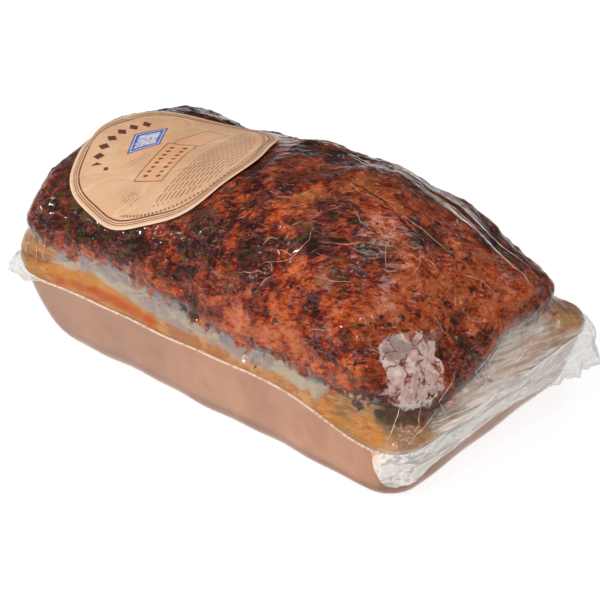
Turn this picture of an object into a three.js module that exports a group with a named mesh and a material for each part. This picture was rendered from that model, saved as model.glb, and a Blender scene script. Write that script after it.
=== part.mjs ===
// A baked pate loaf in its clear vacuum pack. The lower half is smooth from the baking mould.
// The upper half is a browned, craggy dome that slopes down to one short end.
// A collar of set fat and jelly fills the foot of the dome, a paper label lies on the high end,
// and the film's seal runs round the waist, with a wide ruffled flap at each short end.
// Millimetres, +Z up, the base at z = 0. The dome slopes down towards +X.
import * as THREE from 'three';

const { lerp, smoothstep, clamp, degToRad } = THREE.MathUtils;

// Waist: the line where the film is sealed, as a box with rounded corners
const RIM = { left: 144, right: 140, half: 82, leftCorner: 13, rightCorner: 16 };
const WELD_Z = 42;
const WELD_SAG = 13;
const SAG_POWER = 0.8;
const WELD_WAVE = 0.5;

// Lower half: the walls taper in towards the base, and the bottom edge is rounded.
// The base widens towards +X, and its +X end is cut a little askew.
const TAPER = { left: 6, right: 10, half: 5 };
const EDGE_INSET = { left: 22, right: 7, half: 6 };
const EDGE_HEIGHT = { left: 32, right: 11, half: 11 };
const BASE_CORNER = 17;
const BASE_FLARE = 0.08;
const BASE_SKEW = 7;
const BASE_WAVE = 0.8;

// Dome: rings that shrink on superelliptic arcs from the crust's foot to a short spine
const CRUST = { left: 149, right: 126.5, half: 75, leftCorner: 16, rightCorner: 23 };
const SPINE = { left: 134, right: 28, half: 0, leftCorner: 44, rightCorner: 60 };
const LEFT_POWER = 6;
const RIGHT_POWER = 1.95;
const SIDE_POWER = 2.14;
const CREST = { x: 31, z: 127, leftRun: 145, leftDrop: 18, rightRun: 95, rightDrop: 29 };
const CREST_HOLLOW = { x: -95, width: 34, height: -6 };

// Crust's foot: it falls towards +X, with a rise near the label and a dip and a rise at the +X end
const FOOT_Z = { left: 62, right: 48 };
const FOOT_RISE = { x: -65, width: 32, height: 7 };
const FOOT_DIP = { y: -30, width: 24, height: -12 };
const FOOT_STEP = { y: 30, height: 8 };
const FOOT_WAVE = 1.8;

// Crags of the browned crust
const CRAG_HEIGHT = 3;
const COARSE_CRAG = 46;
const FINE_CRAG = 27;

// Collar of set fat and jelly, between the waist and the crust
const NECK = { left: 130, right: 121.5, half: 71, leftCorner: 10, rightCorner: 18 };
const COLLAR_BULGE = 1.6;
const LEFT_BULGE = 3;
const CORNER_BULGE = { x: 136, y: 78, width: 24, height: 8 };
const GAP = 0.3;
const FOOT_GAP = 0.7;

// Paper label, a soft octagon
const LABEL = { x: -84.5, y: -14.5, radius: 59, lobes: 8, lobeDepth: 2.4, turn: 5 };
const LABEL_LIFT = 1.3;
const LABEL_THICKNESS = 0.7;
const LABEL_MARGIN = 3;

// Seal: a narrow lip along the sides, a wide ruffled flap at each short end
const LIP_WIDTH = 2.6;
const SEAL_THICKNESS = 0.8;
const SEAL_CLEARANCE = 0.4;
const SEAL_DROP = 0.3;
const LIP_DROOP = { start: 4, end: 4 };
const LEFT_FLAP = { width: 10, start: 8, end: -14 };
const RIGHT_FLAP = { width: 12, nearCorner: 6, farCorner: 9.5 };
const NEAR_DROOP = { start: 72, end: 92 };
const FAR_DROOP = { start: 40, end: 88 };
const FLAP_START = 22;
const FLAP_FULL = 6;
const RUFFLE_HEIGHT = 2.2;
const RUFFLE_LENGTH = 14;
const SCALLOP_DEPTH = 1.4;

// Segments on a short side, on a corner and on a long side
const LOAF_STEPS = { end: 12, corner: 5, long: 24 };
const SEAL_STEPS = { end: 44, corner: 7, long: 20 };
const LABEL_STEPS = { around: 36, rings: 10 };
const DOME_RINGS = 17;
const TOP_LEVEL = 0.998;

const GOLDEN_ANGLE = Math.PI * (3 - Math.sqrt(5));

// A box outline grown by a distance all round
function grow(box, by) {
  return {
    left: box.left + by,
    right: box.right + by,
    half: box.half + by,
    leftCorner: box.leftCorner + by,
    rightCorner: box.rightCorner + by,
  };
}

// The outline part of the way from one box to another
function between(from, to, share) {
  return {
    left: lerp(from.left, to.left, share),
    right: lerp(from.right, to.right, share),
    half: lerp(from.half, to.half, share),
    leftCorner: lerp(from.leftCorner, to.leftCorner, share),
    rightCorner: lerp(from.rightCorner, to.rightCorner, share),
  };
}

// A corner is never larger than the box has room for
function cornerRadius(box, wanted) {
  return Math.min(wanted, box.half, (box.left + box.right) / 2);
}

// One anticlockwise turn round a rounded box, from the middle of the +X end.
// Each point has its place and its outward direction.
function outline(box, steps) {
  const right = cornerRadius(box, box.rightCorner);
  const left = cornerRadius(box, box.leftCorner);
  const corners = [
    { x: box.right - right, y: box.half - right, radius: right, start: 0, after: steps.long },
    { x: left - box.left, y: box.half - left, radius: left, start: 90, after: steps.end },
    { x: left - box.left, y: left - box.half, radius: left, start: 180, after: steps.long },
    { x: box.right - right, y: right - box.half, radius: right, start: 270, after: steps.end },
  ];
  const points = [];
  corners.forEach((corner, which) => {
    const arc = (angle) => {
      const dx = Math.cos(degToRad(angle));
      const dy = Math.sin(degToRad(angle));
      return { x: corner.x + corner.radius * dx, y: corner.y + corner.radius * dy, dx, dy };
    };
    for (let i = 0; i < steps.corner; i++) {
      points.push(arc(corner.start + (90 * i) / steps.corner));
    }
    const from = arc(corner.start + 90);
    const next = corners[(which + 1) % corners.length];
    const toX = next.x + next.radius * from.dx;
    const toY = next.y + next.radius * from.dy;
    for (let i = 0; i < corner.after; i++) {
      const share = i / corner.after;
      points.push({ x: lerp(from.x, toX, share), y: lerp(from.y, toY, share), dx: from.dx, dy: from.dy });
    }
  });
  const middle = points.splice(points.length - steps.end / 2);
  return [...middle, ...points];
}

// Plane waves in golden-angle directions add up to even, unrepeating lumps
function lumps(x, y, z, wavelength, count) {
  let sum = 0;
  for (let k = 0; k < count; k++) {
    const turn = (k + 1) * GOLDEN_ANGLE;
    const rise = 1 - (2 * k + 1) / count;
    const flat = Math.sqrt(1 - rise * rise);
    const along = x * flat * Math.cos(turn) + y * flat * Math.sin(turn) + z * rise;
    sum += Math.sin((2 * Math.PI * along) / wavelength + 3 * turn);
  }
  return sum / Math.sqrt(count / 2);
}

// How far along the loaf a point lies, from 0 at the -X end to 1 at the +X end
function alongShare(x) {
  return clamp((x + RIM.left) / (RIM.left + RIM.right), 0, 1);
}

// How far across the loaf a point lies, from 0 on the -Y side to 1 on the +Y side
function acrossShare(y) {
  return clamp((y + RIM.half) / (2 * RIM.half), 0, 1);
}

// Height of the seal, which sags towards the -Y corner of the +X end
function weldHeight(x, y) {
  const sag = smoothstep(x, 50, 120) * (1 - acrossShare(y) ** SAG_POWER);
  const wave = Math.sin(x / 17 + y / 13) + Math.sin(x / 7.3 - y / 9.1) / 2;
  return WELD_Z - WELD_SAG * sag + WELD_WAVE * wave;
}

// A smooth hump of a given height, centred on a place along a line
function hump(place, centre, width, height) {
  return height * Math.exp(-(((place - centre) / width) ** 2));
}

// Height of the crust's lower edge, without its small waves
function smoothFoot(x, y) {
  const atEnd = smoothstep(x, 95, 125);
  const dip = hump(y, FOOT_DIP.y, FOOT_DIP.width, FOOT_DIP.height);
  const step = FOOT_STEP.height * smoothstep(y, 0, FOOT_STEP.y);
  const rise = hump(x, FOOT_RISE.x, FOOT_RISE.width, FOOT_RISE.height);
  return lerp(FOOT_Z.left, FOOT_Z.right, alongShare(x)) + rise + atEnd * (dip + step);
}

function footHeight(x, y) {
  const wave = Math.sin(x / 11 + y / 8) + Math.sin(x / 5.7 - y / 6.3 + 1) / 2;
  return smoothFoot(x, y) + (FOOT_WAVE * wave) / 1.5;
}

// Height of the dome's top line: ever steeper down to +X, and with a hollow towards -X
function crestHeight(x) {
  if (x > CREST.x) {
    return CREST.z - CREST.rightDrop * ((x - CREST.x) / CREST.rightRun) ** 2;
  }
  const steady = CREST.z - (CREST.leftDrop * (CREST.x - x)) / CREST.leftRun;
  return steady + hump(x, CREST_HOLLOW.x, CREST_HOLLOW.width, CREST_HOLLOW.height);
}

// The dome's outline at a level from 0, the crust's foot, to 1, the spine
function domeBox(level) {
  const arc = (power) => (1 - level ** power) ** (1 / power);
  const corner = level ** 2;
  return {
    left: lerp(SPINE.left, CRUST.left, arc(LEFT_POWER)),
    right: lerp(SPINE.right, CRUST.right, arc(RIGHT_POWER)),
    half: lerp(SPINE.half, CRUST.half, arc(SIDE_POWER)),
    leftCorner: lerp(CRUST.leftCorner, SPINE.leftCorner, corner),
    rightCorner: lerp(CRUST.rightCorner, SPINE.rightCorner, corner),
  };
}

// The waves of the foot fade out above it
function domeHeight(x, y, level) {
  const smooth = smoothFoot(x, y);
  const foot = lerp(footHeight(x, y), smooth, smoothstep(level, 0, 0.3));
  return foot + level * (crestHeight(x) - smooth);
}

// How far a plan point lies outside a rounded box; negative inside
function distanceOutside(box, x, y) {
  const radius = cornerRadius(box, x < 0 ? box.leftCorner : box.rightCorner);
  const overX = Math.max(x - box.right, -box.left - x) + radius;
  const overY = Math.abs(y) - box.half + radius;
  const inside = Math.min(Math.max(overX, overY), 0);
  return inside + Math.hypot(Math.max(overX, 0), Math.max(overY, 0)) - radius;
}

// The point of the smooth dome above a plan point, found by halving
function onDome(x, y) {
  let low = 0;
  let high = 1;
  for (let i = 0; i < 30; i++) {
    const level = (low + high) / 2;
    if (distanceOutside(domeBox(level), x, y) > 0) {
      high = level;
    } else {
      low = level;
    }
  }
  return new THREE.Vector3(x, y, domeHeight(x, y, low));
}

function domeNormal(x, y) {
  const reach = 1.5;
  const alongX = onDome(x + reach, y).sub(onDome(x - reach, y));
  const alongY = onDome(x, y + reach).sub(onDome(x, y - reach));
  return alongX.cross(alongY).normalize();
}

// The label's outline: a circle with shallow lobes
function labelRadius(angle) {
  const lobe = Math.cos(LABEL.lobes * (angle - degToRad(LABEL.turn)));
  return LABEL.radius + (LABEL.lobeDepth / 2) * lobe;
}

// How craggy the crust is at a point: flat where the label presses on it
function crag(point) {
  const away = Math.hypot(point.x - LABEL.x, point.y - LABEL.y);
  const free = smoothstep(away, LABEL.radius + LABEL_MARGIN, LABEL.radius + 4 * LABEL_MARGIN);
  const coarse = lumps(point.x, point.y, point.z, COARSE_CRAG, 9);
  const fine = lumps(point.x, point.y, point.z, FINE_CRAG, 11);
  return CRAG_HEIGHT * free * clamp(0.45 + 0.22 * coarse + 0.2 * fine, 0, 1);
}

// Rows of points joined by quads, each split in two. A row always closes on itself.
function skin(rows, rowsClose) {
  const columns = rows[0].length;
  const index = [];
  const strips = rowsClose ? rows.length : rows.length - 1;
  for (let row = 0; row < strips; row++) {
    const next = (row + 1) % rows.length;
    for (let column = 0; column < columns; column++) {
      const side = (column + 1) % columns;
      const corner = row * columns + column;
      const across = next * columns + side;
      index.push(corner, row * columns + side, across);
      index.push(corner, across, next * columns + column);
    }
  }
  return { points: rows.flat(), index };
}

// Closes a ring that is the same on both sides of its X axis, point against point
function closeRing(index, first, count, facesDown) {
  const add = (a, b, c) => {
    if (facesDown) {
      index.push(first + a, first + c, first + b);
    } else {
      index.push(first + a, first + b, first + c);
    }
  };
  add(0, 1, count - 1);
  for (let i = 1; i < count / 2 - 1; i++) {
    add(i, i + 1, count - i - 1);
    add(i, count - i - 1, count - i);
  }
  add(count / 2 - 1, count / 2, count / 2 + 1);
}

function toGeometry({ points, index }) {
  const geometry = new THREE.BufferGeometry().setFromPoints(points);
  geometry.setIndex(index);
  geometry.computeVertexNormals();
  return geometry;
}

// A ring of points from a box outline, each lifted by a height rule of its place and number
function ring(box, height) {
  return outline(box, LOAF_STEPS).map((p, i) => new THREE.Vector3(p.x, p.y, height(p.x, p.y, i)));
}

// Heights round the waist and round the crust's foot, which loaf and collar share
const WELD_LINE = outline(RIM, LOAF_STEPS).map((p) => weldHeight(p.x, p.y));
const FOOT_LINE = outline(CRUST, LOAF_STEPS).map((p) => footHeight(p.x, p.y));

// How far a wall stands in from the waist: its taper and, near the floor, the rounded edge
function wallInset(side, share) {
  const climb = clamp((share * WELD_Z) / EDGE_HEIGHT[side], 0, 1);
  const curl = 1 - Math.sqrt(1 - (1 - climb) ** 2);
  return TAPER[side] * (1 - share) + EDGE_INSET[side] * curl;
}

// The lower wall's outline at a share of the way up from the base to the waist
function wallBox(share) {
  return {
    left: RIM.left - wallInset('left', share),
    right: RIM.right - wallInset('right', share),
    half: RIM.half - wallInset('half', share),
    leftCorner: lerp(BASE_CORNER, RIM.leftCorner, share),
    rightCorner: lerp(BASE_CORNER, RIM.rightCorner, share),
  };
}

// The wall's ring, with the base's flare, skewed end and slightly uneven edge
function wallRing(share) {
  return outline(wallBox(share), LOAF_STEPS).map((p) => {
    const low = 1 - share;
    const wave = Math.sin(p.x / 15 + 2) + Math.sin(p.x / 6.1 - p.y / 8) / 2;
    const out = BASE_WAVE * wave * low;
    const skew = BASE_SKEW * low * smoothstep(p.x, 40, 120) * (p.y / RIM.half);
    const flare = 1 + BASE_FLARE * low * (p.x / RIM.right);
    const x = p.x + p.dx * out - skew;
    const y = (p.y + p.dy * out) * flare;
    return new THREE.Vector3(x, y, share * weldHeight(p.x, p.y));
  });
}

// Moulded lower half, recessed neck behind the collar, and the craggy browned dome
function makeLoaf() {
  const rows = [0, 0.03, 0.1, 0.2, 0.4, 0.7, 1].map(wallRing);
  rows.push(ring(NECK, (x, y, i) => WELD_LINE[i]));
  rows.push(ring(NECK, (x, y, i) => FOOT_LINE[i]));
  const firstCrust = rows.length + 1;
  for (let i = 0; i <= DOME_RINGS; i++) {
    const level = Math.sin((Math.asin(TOP_LEVEL) * i) / DOME_RINGS);
    rows.push(ring(domeBox(level), (x, y) => domeHeight(x, y, level)));
  }
  const columns = rows[0].length;
  const body = skin(rows, false);
  closeRing(body.index, 0, columns, true);
  closeRing(body.index, (rows.length - 1) * columns, columns, false);
  const smooth = toGeometry(body).getAttribute('normal');
  body.points.forEach((point, i) => {
    if (i >= firstCrust * columns) {
      const outward = new THREE.Vector3().fromBufferAttribute(smooth, i);
      point.addScaledVector(outward, crag(point));
    }
  });
  return toGeometry(body);
}

// The collar's outline between waist and crust, bulging at the -X end and at the far +X corner
function bulgeRing(share, height) {
  const box = grow(between(RIM, CRUST, share), COLLAR_BULGE);
  box.left += LEFT_BULGE;
  return outline(box, LOAF_STEPS).map((p, i) => {
    const away = Math.hypot(p.x - CORNER_BULGE.x, p.y - CORNER_BULGE.y);
    const out = hump(away, 0, CORNER_BULGE.width, CORNER_BULGE.height);
    return new THREE.Vector3(p.x + p.dx * out, p.y + p.dy * out, height(p.x, p.y, i));
  });
}

// Ring of fat and jelly: it swells out from the waist, then stands up to the crust's edge
function makeCollar() {
  const low = (x, y, i) => WELD_LINE[i] + GAP;
  const high = (x, y, i) => FOOT_LINE[i] - FOOT_GAP;
  const at = (share) => (x, y, i) => lerp(low(x, y, i), high(x, y, i), share);
  const inner = grow(NECK, GAP);
  const rows = [
    ring(inner, low),
    ring(RIM, low),
    bulgeRing(0.45, at(0.28)),
    bulgeRing(0.9, at(0.62)),
    ring(CRUST, high),
    ring(inner, high),
  ];
  return toGeometry(skin(rows, true));
}

// Paper label: each spoke is walked outwards over the dome until its length is used up
function makeLabel() {
  const { around, rings } = LABEL_STEPS;
  const under = [];
  const over = [];
  for (let r = 1; r <= rings; r++) {
    under.push([]);
    over.unshift([]);
  }
  for (let i = 0; i < around; i++) {
    const angle = (2 * Math.PI * i) / around;
    const point = new THREE.Vector2(LABEL.x, LABEL.y);
    const step = new THREE.Vector2(Math.cos(angle), Math.sin(angle)).multiplyScalar(0.25);
    let here = onDome(point.x, point.y);
    let walked = 0;
    for (let r = 1; r <= rings; r++) {
      while (walked < (labelRadius(angle) * r) / rings) {
        point.add(step);
        const there = onDome(point.x, point.y);
        walked += there.distanceTo(here);
        here = there;
      }
      const outward = domeNormal(here.x, here.y);
      under[r - 1].push(here.clone().addScaledVector(outward, LABEL_LIFT));
      over[rings - r].push(here.clone().addScaledVector(outward, LABEL_LIFT + LABEL_THICKNESS));
    }
  }
  const sheet = skin([...under, ...over], false);
  const centre = onDome(LABEL.x, LABEL.y);
  const outward = domeNormal(LABEL.x, LABEL.y);
  const lowest = sheet.points.length;
  sheet.points.push(centre.clone().addScaledVector(outward, LABEL_LIFT));
  sheet.points.push(centre.clone().addScaledVector(outward, LABEL_LIFT + LABEL_THICKNESS));
  const lastRow = (2 * rings - 1) * around;
  for (let i = 0; i < around; i++) {
    const next = (i + 1) % around;
    sheet.index.push(lowest, next, i);
    sheet.index.push(lowest + 1, lastRow + i, lastRow + next);
  }
  return toGeometry(sheet);
}

// Width of the seal at a point of the waist, and how steeply it droops at its two edges
function flapAt(x, y) {
  const end = x < 0 ? RIM.left : RIM.right;
  const share = smoothstep(Math.abs(x), end - FLAP_START, end - FLAP_FULL);
  const far = acrossShare(y);
  const nearCorner = RIGHT_FLAP.nearCorner * Math.exp(-((far / 0.08) ** 2));
  const farCorner = RIGHT_FLAP.farCorner * smoothstep(far, 0.55, 0.95);
  const width = x < 0 ? LEFT_FLAP.width : RIGHT_FLAP.width + nearCorner + farCorner;
  const droop = (edge) => {
    const full = x < 0 ? LEFT_FLAP[edge] : lerp(NEAR_DROOP[edge], FAR_DROOP[edge], far ** 3);
    return degToRad(lerp(LIP_DROOP[edge], full, share));
  };
  return { share, width: lerp(LIP_WIDTH, width, share), start: droop('start'), end: droop('end') };
}

// Film seal: lip and flaps curl down on an arc, with ruffles that grow towards a scalloped edge
function makeSeal() {
  const path = outline(grow(RIM, SEAL_CLEARANCE), SEAL_STEPS);
  const shares = [0, 0.35, 0.7, 1];
  const under = shares.map(() => []);
  const over = shares.map(() => []);
  let travelled = 0;
  path.forEach((p, i) => {
    const before = path[(i + path.length - 1) % path.length];
    travelled += Math.hypot(p.x - before.x, p.y - before.y);
    const flap = flapAt(p.x, p.y);
    const scallop = i % 2 ? SCALLOP_DEPTH * flap.share : 0;
    const swing = Math.sin((2 * Math.PI * travelled) / RUFFLE_LENGTH + Math.sin(travelled / 23));
    shares.forEach((share, which) => {
      const length = (flap.width - scallop) * share;
      const turned = lerp(flap.start, flap.end, share);
      const reach = length * Math.cos((flap.start + turned) / 2);
      const drop = length * Math.sin((flap.start + turned) / 2);
      const ruffle = RUFFLE_HEIGHT * flap.share * swing * share ** 1.5;
      const base = new THREE.Vector3(p.x, p.y, weldHeight(p.x, p.y) - SEAL_DROP);
      const across = new THREE.Vector3(p.dx * Math.sin(turned), p.dy * Math.sin(turned), Math.cos(turned));
      base.add(new THREE.Vector3(p.dx * reach, p.dy * reach, -drop));
      under[which].push(base.clone().addScaledVector(across, ruffle - SEAL_THICKNESS / 2));
      over[which].push(base.clone().addScaledVector(across, ruffle + SEAL_THICKNESS / 2));
    });
  });
  return toGeometry(skin([...under, ...over.reverse()], true));
}

function finish(color, roughness) {
  return new THREE.MeshStandardMaterial({ color, roughness, metalness: 0 });
}

function named(name, geometry, material) {
  const mesh = new THREE.Mesh(geometry, material);
  mesh.name = name;
  return mesh;
}

// The pack stands centred over the origin
function makePack() {
  const pack = new THREE.Group();
  pack.add(named('pate_loaf', makeLoaf(), finish(0x8a4a2c, 0.35)));
  pack.add(named('fat_collar', makeCollar(), finish(0xcfae86, 0.3)));
  pack.add(named('label', makeLabel(), finish(0xdeba96, 0.7)));
  pack.add(named('film_seal', makeSeal(), finish(0xe8e6e2, 0.2)));
  const middle = new THREE.Box3().setFromObject(pack).getCenter(new THREE.Vector3());
  pack.position.set(-middle.x, -middle.y, 0);
  return pack;
}

export default makePack();
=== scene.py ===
# %% [markdown]
# # A baked pate loaf in its clear vacuum pack
# The real thing is a block of liver pate of some four kilos. It is baked in a tin, turned out, browned
# on top and shut in clear film with a round paper label. The measured model is loaded first and never
# changed: every piece made below is fitted round it, in metres, in the same place.

# %% Load the measured model
import math

import bpy
import numpy as np
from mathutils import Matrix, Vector, noise


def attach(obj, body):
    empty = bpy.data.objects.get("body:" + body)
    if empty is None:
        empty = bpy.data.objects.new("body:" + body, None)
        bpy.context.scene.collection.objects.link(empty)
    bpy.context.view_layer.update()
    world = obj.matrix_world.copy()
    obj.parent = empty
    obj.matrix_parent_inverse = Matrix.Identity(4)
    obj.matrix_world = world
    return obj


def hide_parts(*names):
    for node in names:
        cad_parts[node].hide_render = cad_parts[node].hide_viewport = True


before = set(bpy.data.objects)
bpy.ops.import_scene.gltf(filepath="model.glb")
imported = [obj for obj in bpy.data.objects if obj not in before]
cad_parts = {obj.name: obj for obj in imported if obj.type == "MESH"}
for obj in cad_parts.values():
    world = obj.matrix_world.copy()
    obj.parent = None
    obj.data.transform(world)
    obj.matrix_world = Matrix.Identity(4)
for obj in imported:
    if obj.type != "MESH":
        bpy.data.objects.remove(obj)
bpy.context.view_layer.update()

MM = 0.001

# %% [markdown]
# The camera comes first, so that every later look is taken from the same place. A long lens far away
# keeps the block's edges nearly parallel, which is how packs are photographed for a catalogue.

# %% Camera
VIEW_AZIMUTH = 41.0
VIEW_ELEVATION = 30.4
VIEW_DISTANCE = 2.4
VIEW_TARGET = Vector((0.01245, -0.01703, 0.050))
LENS_MM = 260.6
SENSOR_MM = 36.0


def towards(azimuth, elevation):
    """The direction from the object to something that stands round it, in degrees."""
    turn, rise = math.radians(azimuth), math.radians(elevation)
    return Vector((math.sin(turn) * math.cos(rise), -math.cos(turn) * math.cos(rise), math.sin(rise)))


def aim(thing, azimuth, elevation, distance, target):
    back = towards(azimuth, elevation)
    thing.location = target + back * distance
    thing.rotation_mode = "QUATERNION"
    thing.rotation_quaternion = (-back).to_track_quat("-Z", "Y")
    bpy.context.scene.collection.objects.link(thing)


camera_data = bpy.data.cameras.new("camera")
camera_data.lens = LENS_MM
camera_data.sensor_width = SENSOR_MM
camera = bpy.data.objects.new("camera", camera_data)
aim(camera, VIEW_AZIMUTH, VIEW_ELEVATION, VIEW_DISTANCE, VIEW_TARGET)
bpy.context.scene.camera = camera
print("camera at", [round(c, 3) for c in camera.location])

# %% [markdown]
# Shader maths is easier to read as formulas. `Wire` wraps a socket and gives it Python's operators, and
# `Tree.add` makes any other node: its settings first, then what its sockets hold or are joined to.

# %% Node helpers
def find_socket(sockets, key):
    """A socket by its name, or by its place among those that the node's settings leave in use."""
    in_use = [socket for socket in sockets if socket.enabled]
    if isinstance(key, int):
        return in_use[key]
    return next(socket for socket in in_use if socket.name == key)


def formula(operation, swapped=False):
    """An operator for Wire, which adds one Math node."""
    return lambda wire, value=None: wire.math(operation, value, swapped)


class Wire:
    """An output socket. Arithmetic on it adds Math nodes."""

    def __init__(self, tree, socket):
        self.tree = tree
        self.socket = socket

    def other(self, name):
        return Wire(self.tree, find_socket(self.socket.node.outputs, name))

    def math(self, operation, value=None, swapped=False):
        """A Math node on this wire and, where the operation takes two, on one more value."""
        values = [self] if value is None else [self, value]
        if swapped:
            values.reverse()
        return self.tree.add("ShaderNodeMath", {"operation": operation}, dict(enumerate(values)))

    __add__, __radd__ = formula("ADD"), formula("ADD", True)
    __sub__, __rsub__ = formula("SUBTRACT"), formula("SUBTRACT", True)
    __mul__, __rmul__ = formula("MULTIPLY"), formula("MULTIPLY", True)
    __truediv__, __pow__, __abs__ = formula("DIVIDE"), formula("POWER"), formula("ABSOLUTE")

    def above(self, low, high):
        """0 below low, 1 above high, and a smooth rise between them."""
        sockets = {"Value": self, "From Min": low, "From Max": high}
        return self.tree.add("ShaderNodeMapRange", {"interpolation_type": "SMOOTHSTEP"}, sockets)

    def within(self, middle, near, far):
        """1 less than near from a middle value, 0 more than far from it."""
        return 1 - abs(self - middle).above(near, far)


class Tree:
    """A node tree, and one way to add a node to it."""

    def __init__(self, tree):
        self.tree = tree

    def join(self, value, socket):
        if isinstance(value, Wire):
            self.tree.links.new(value.socket, socket)
        else:
            socket.default_value = value

    def add(self, kind, settings=None, sockets=None, out=0):
        node = self.tree.nodes.new(kind)
        for key, value in (settings or {}).items():
            if key == "stops":
                set_stops(node.color_ramp, value)
            else:
                setattr(node, key, value)
        for key, value in (sockets or {}).items():
            self.join(value, find_socket(node.inputs, key))
        return Wire(self, find_socket(node.outputs, out))


def set_stops(ramp, stops):
    while len(ramp.elements) < len(stops):
        ramp.elements.new(1.0)
    for element, (place, colour) in zip(ramp.elements, stops):
        element.position = place
        element.color = colour


class Finish(Tree):
    """A material with short names for the nodes that are used most."""

    def __init__(self, name):
        self.material = bpy.data.materials.new(name)
        self.material.use_nodes = True
        super().__init__(self.material.node_tree)
        self.tree.nodes.clear()
        self.place = self.add("ShaderNodeTexCoord", out="Object")

    def noise(self, size_mm, detail=4.0, roughness=0.5, distortion=0.0, place=None):
        """Noise whose lumps are about size_mm across."""
        sockets = {"Vector": place or self.place, "Scale": 1000.0 / size_mm, "Detail": detail}
        sockets.update({"Roughness": roughness, "Distortion": distortion})
        return self.add("ShaderNodeTexNoise", None, sockets, "Fac")

    def broken(self, size_mm):
        """The distance to the nearest edge among angular flakes about size_mm across."""
        warp = {"Vector": self.place, "Scale": 1000.0 / size_mm * 1.6, "Detail": 3.0}
        warp = self.add("ShaderNodeTexNoise", None, warp, "Color")
        moved = {0: warp, 1: (size_mm * 0.7 * MM,) * 3, 2: self.place}
        moved = self.add("ShaderNodeVectorMath", {"operation": "MULTIPLY_ADD"}, moved)
        flakes = {"Vector": moved, "Scale": 1000.0 / size_mm}
        return self.add("ShaderNodeTexVoronoi", {"feature": "DISTANCE_TO_EDGE"}, flakes, "Distance")

    def stretched(self, scale, turn=0.0):
        """Places on which a pattern is scale times as long, after a turn about Z in degrees."""
        sockets = {"Vector": self.place, "Rotation": (0.0, 0.0, math.radians(turn)), "Scale": scale}
        return self.add("ShaderNodeMapping", {"vector_type": "TEXTURE"}, sockets)

    def field(self, name):
        """A number that the mesh carries at each point."""
        return self.add("ShaderNodeAttribute", {"attribute_name": name}, None, "Fac")

    def ramp(self, value, places, colours):
        """Colours, given as they look on screen, at places along a value."""
        stops = [(place, srgb(*colour)) for place, colour in zip(places, colours)]
        return self.add("ShaderNodeValToRGB", {"stops": stops}, {"Fac": value}, "Color")

    def blend(self, share, one, other):
        sockets = {"Factor": share, "A": one, "B": other}
        return self.add("ShaderNodeMix", {"data_type": "RGBA"}, sockets, "Result")

    def layered(self, colour, *layers):
        """A colour with others laid over it, each by its share."""
        for share, over in layers:
            colour = self.blend(share, colour, over)
        return colour

    def patchy(self, name, pattern, amount, low, high):
        """Where a field is strong, with its edge broken up by a pattern."""
        return (self.field(name) + (pattern - 0.5) * amount).above(low, high)

    def bump(self, height, depth_mm, strength=1.0):
        sockets = {"Height": height, "Distance": depth_mm * MM, "Strength": strength}
        return self.add("ShaderNodeBump", None, sockets)

    def surface(self, sockets):
        return self.add("ShaderNodeBsdfPrincipled", None, sockets, "BSDF")

    def mixed(self, share, one, other):
        return self.add("ShaderNodeMixShader", None, {0: share, 1: one, 2: other})

    def done(self, shader):
        output = self.tree.nodes.new("ShaderNodeOutputMaterial")
        self.tree.links.new(shader.socket, output.inputs["Surface"])
        print("finish", self.material.name, "with", len(self.tree.nodes), "nodes")
        return self.material


def srgb(red, green, blue):
    """A colour as it looks on screen, from 0 to 255, as the linear colour that a shader needs."""
    linear = [((c / 255 + 0.055) / 1.055) ** 2.4 if c > 10 else c / 255 / 12.92 for c in (red, green, blue)]
    return (*linear, 1.0)


# %% [markdown]
# The pack was photographed on white under large soft lamps. A pale floor that glows, a dim white sky and
# four soft lights give the same even light, and two small ones draw the sparks on the wrinkled film.

# %% Floor, sky and lights
FLOOR_SIZE = 14.0
FLOOR_DROP = 0.0004
FLOOR_GLOW = 0.86
FLOOR_CORNERS = ((-1, -1), (1, -1), (1, 1), (-1, 1))
SKY_STRENGTH = 0.1
LIGHT_TARGET = Vector((0, 0, 0.06))
# Azimuth, elevation, distance, width and height in metres, watts
LIGHTS = {
    "key": (-18, 31, 2.6, 1.0, 0.7, 49),
    "fill": (62, 40, 2.6, 1.0, 0.7, 20),
    "back": (130, 62, 2.2, 0.9, 0.9, 13),
    "rear": (216, 36, 2.6, 1.0, 0.7, 14),
    "spark": (24, 56, 1.6, 0.12, 0.04, 2.6),
    "glint": (-56, 28, 1.6, 0.12, 0.04, 3.0),
}
UNSEEN_IN_GLOSS = ("key", "fill", "rear")  # mirrored in the film, these would veil the dark crust

scene = bpy.context.scene
scene.view_settings.view_transform = "Standard"
sky = bpy.data.worlds.new("sky")
sky.use_nodes = True
sky.node_tree.nodes["Background"].inputs["Color"].default_value = (1.0, 1.0, 1.0, 1.0)
sky.node_tree.nodes["Background"].inputs["Strength"].default_value = SKY_STRENGTH
scene.world = sky

for name, (azimuth, elevation, distance, width, height, watts) in LIGHTS.items():
    lamp = bpy.data.lights.new(name, "AREA")
    lamp.shape = "RECTANGLE"
    lamp.size = width
    lamp.size_y = height
    lamp.energy = watts
    lamp_object = bpy.data.objects.new(name, lamp)
    lamp_object.visible_glossy = name not in UNSEEN_IN_GLOSS
    aim(lamp_object, azimuth, elevation, distance, LIGHT_TARGET)


def grey(value):
    return (value, value, value, 1.0)


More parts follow.
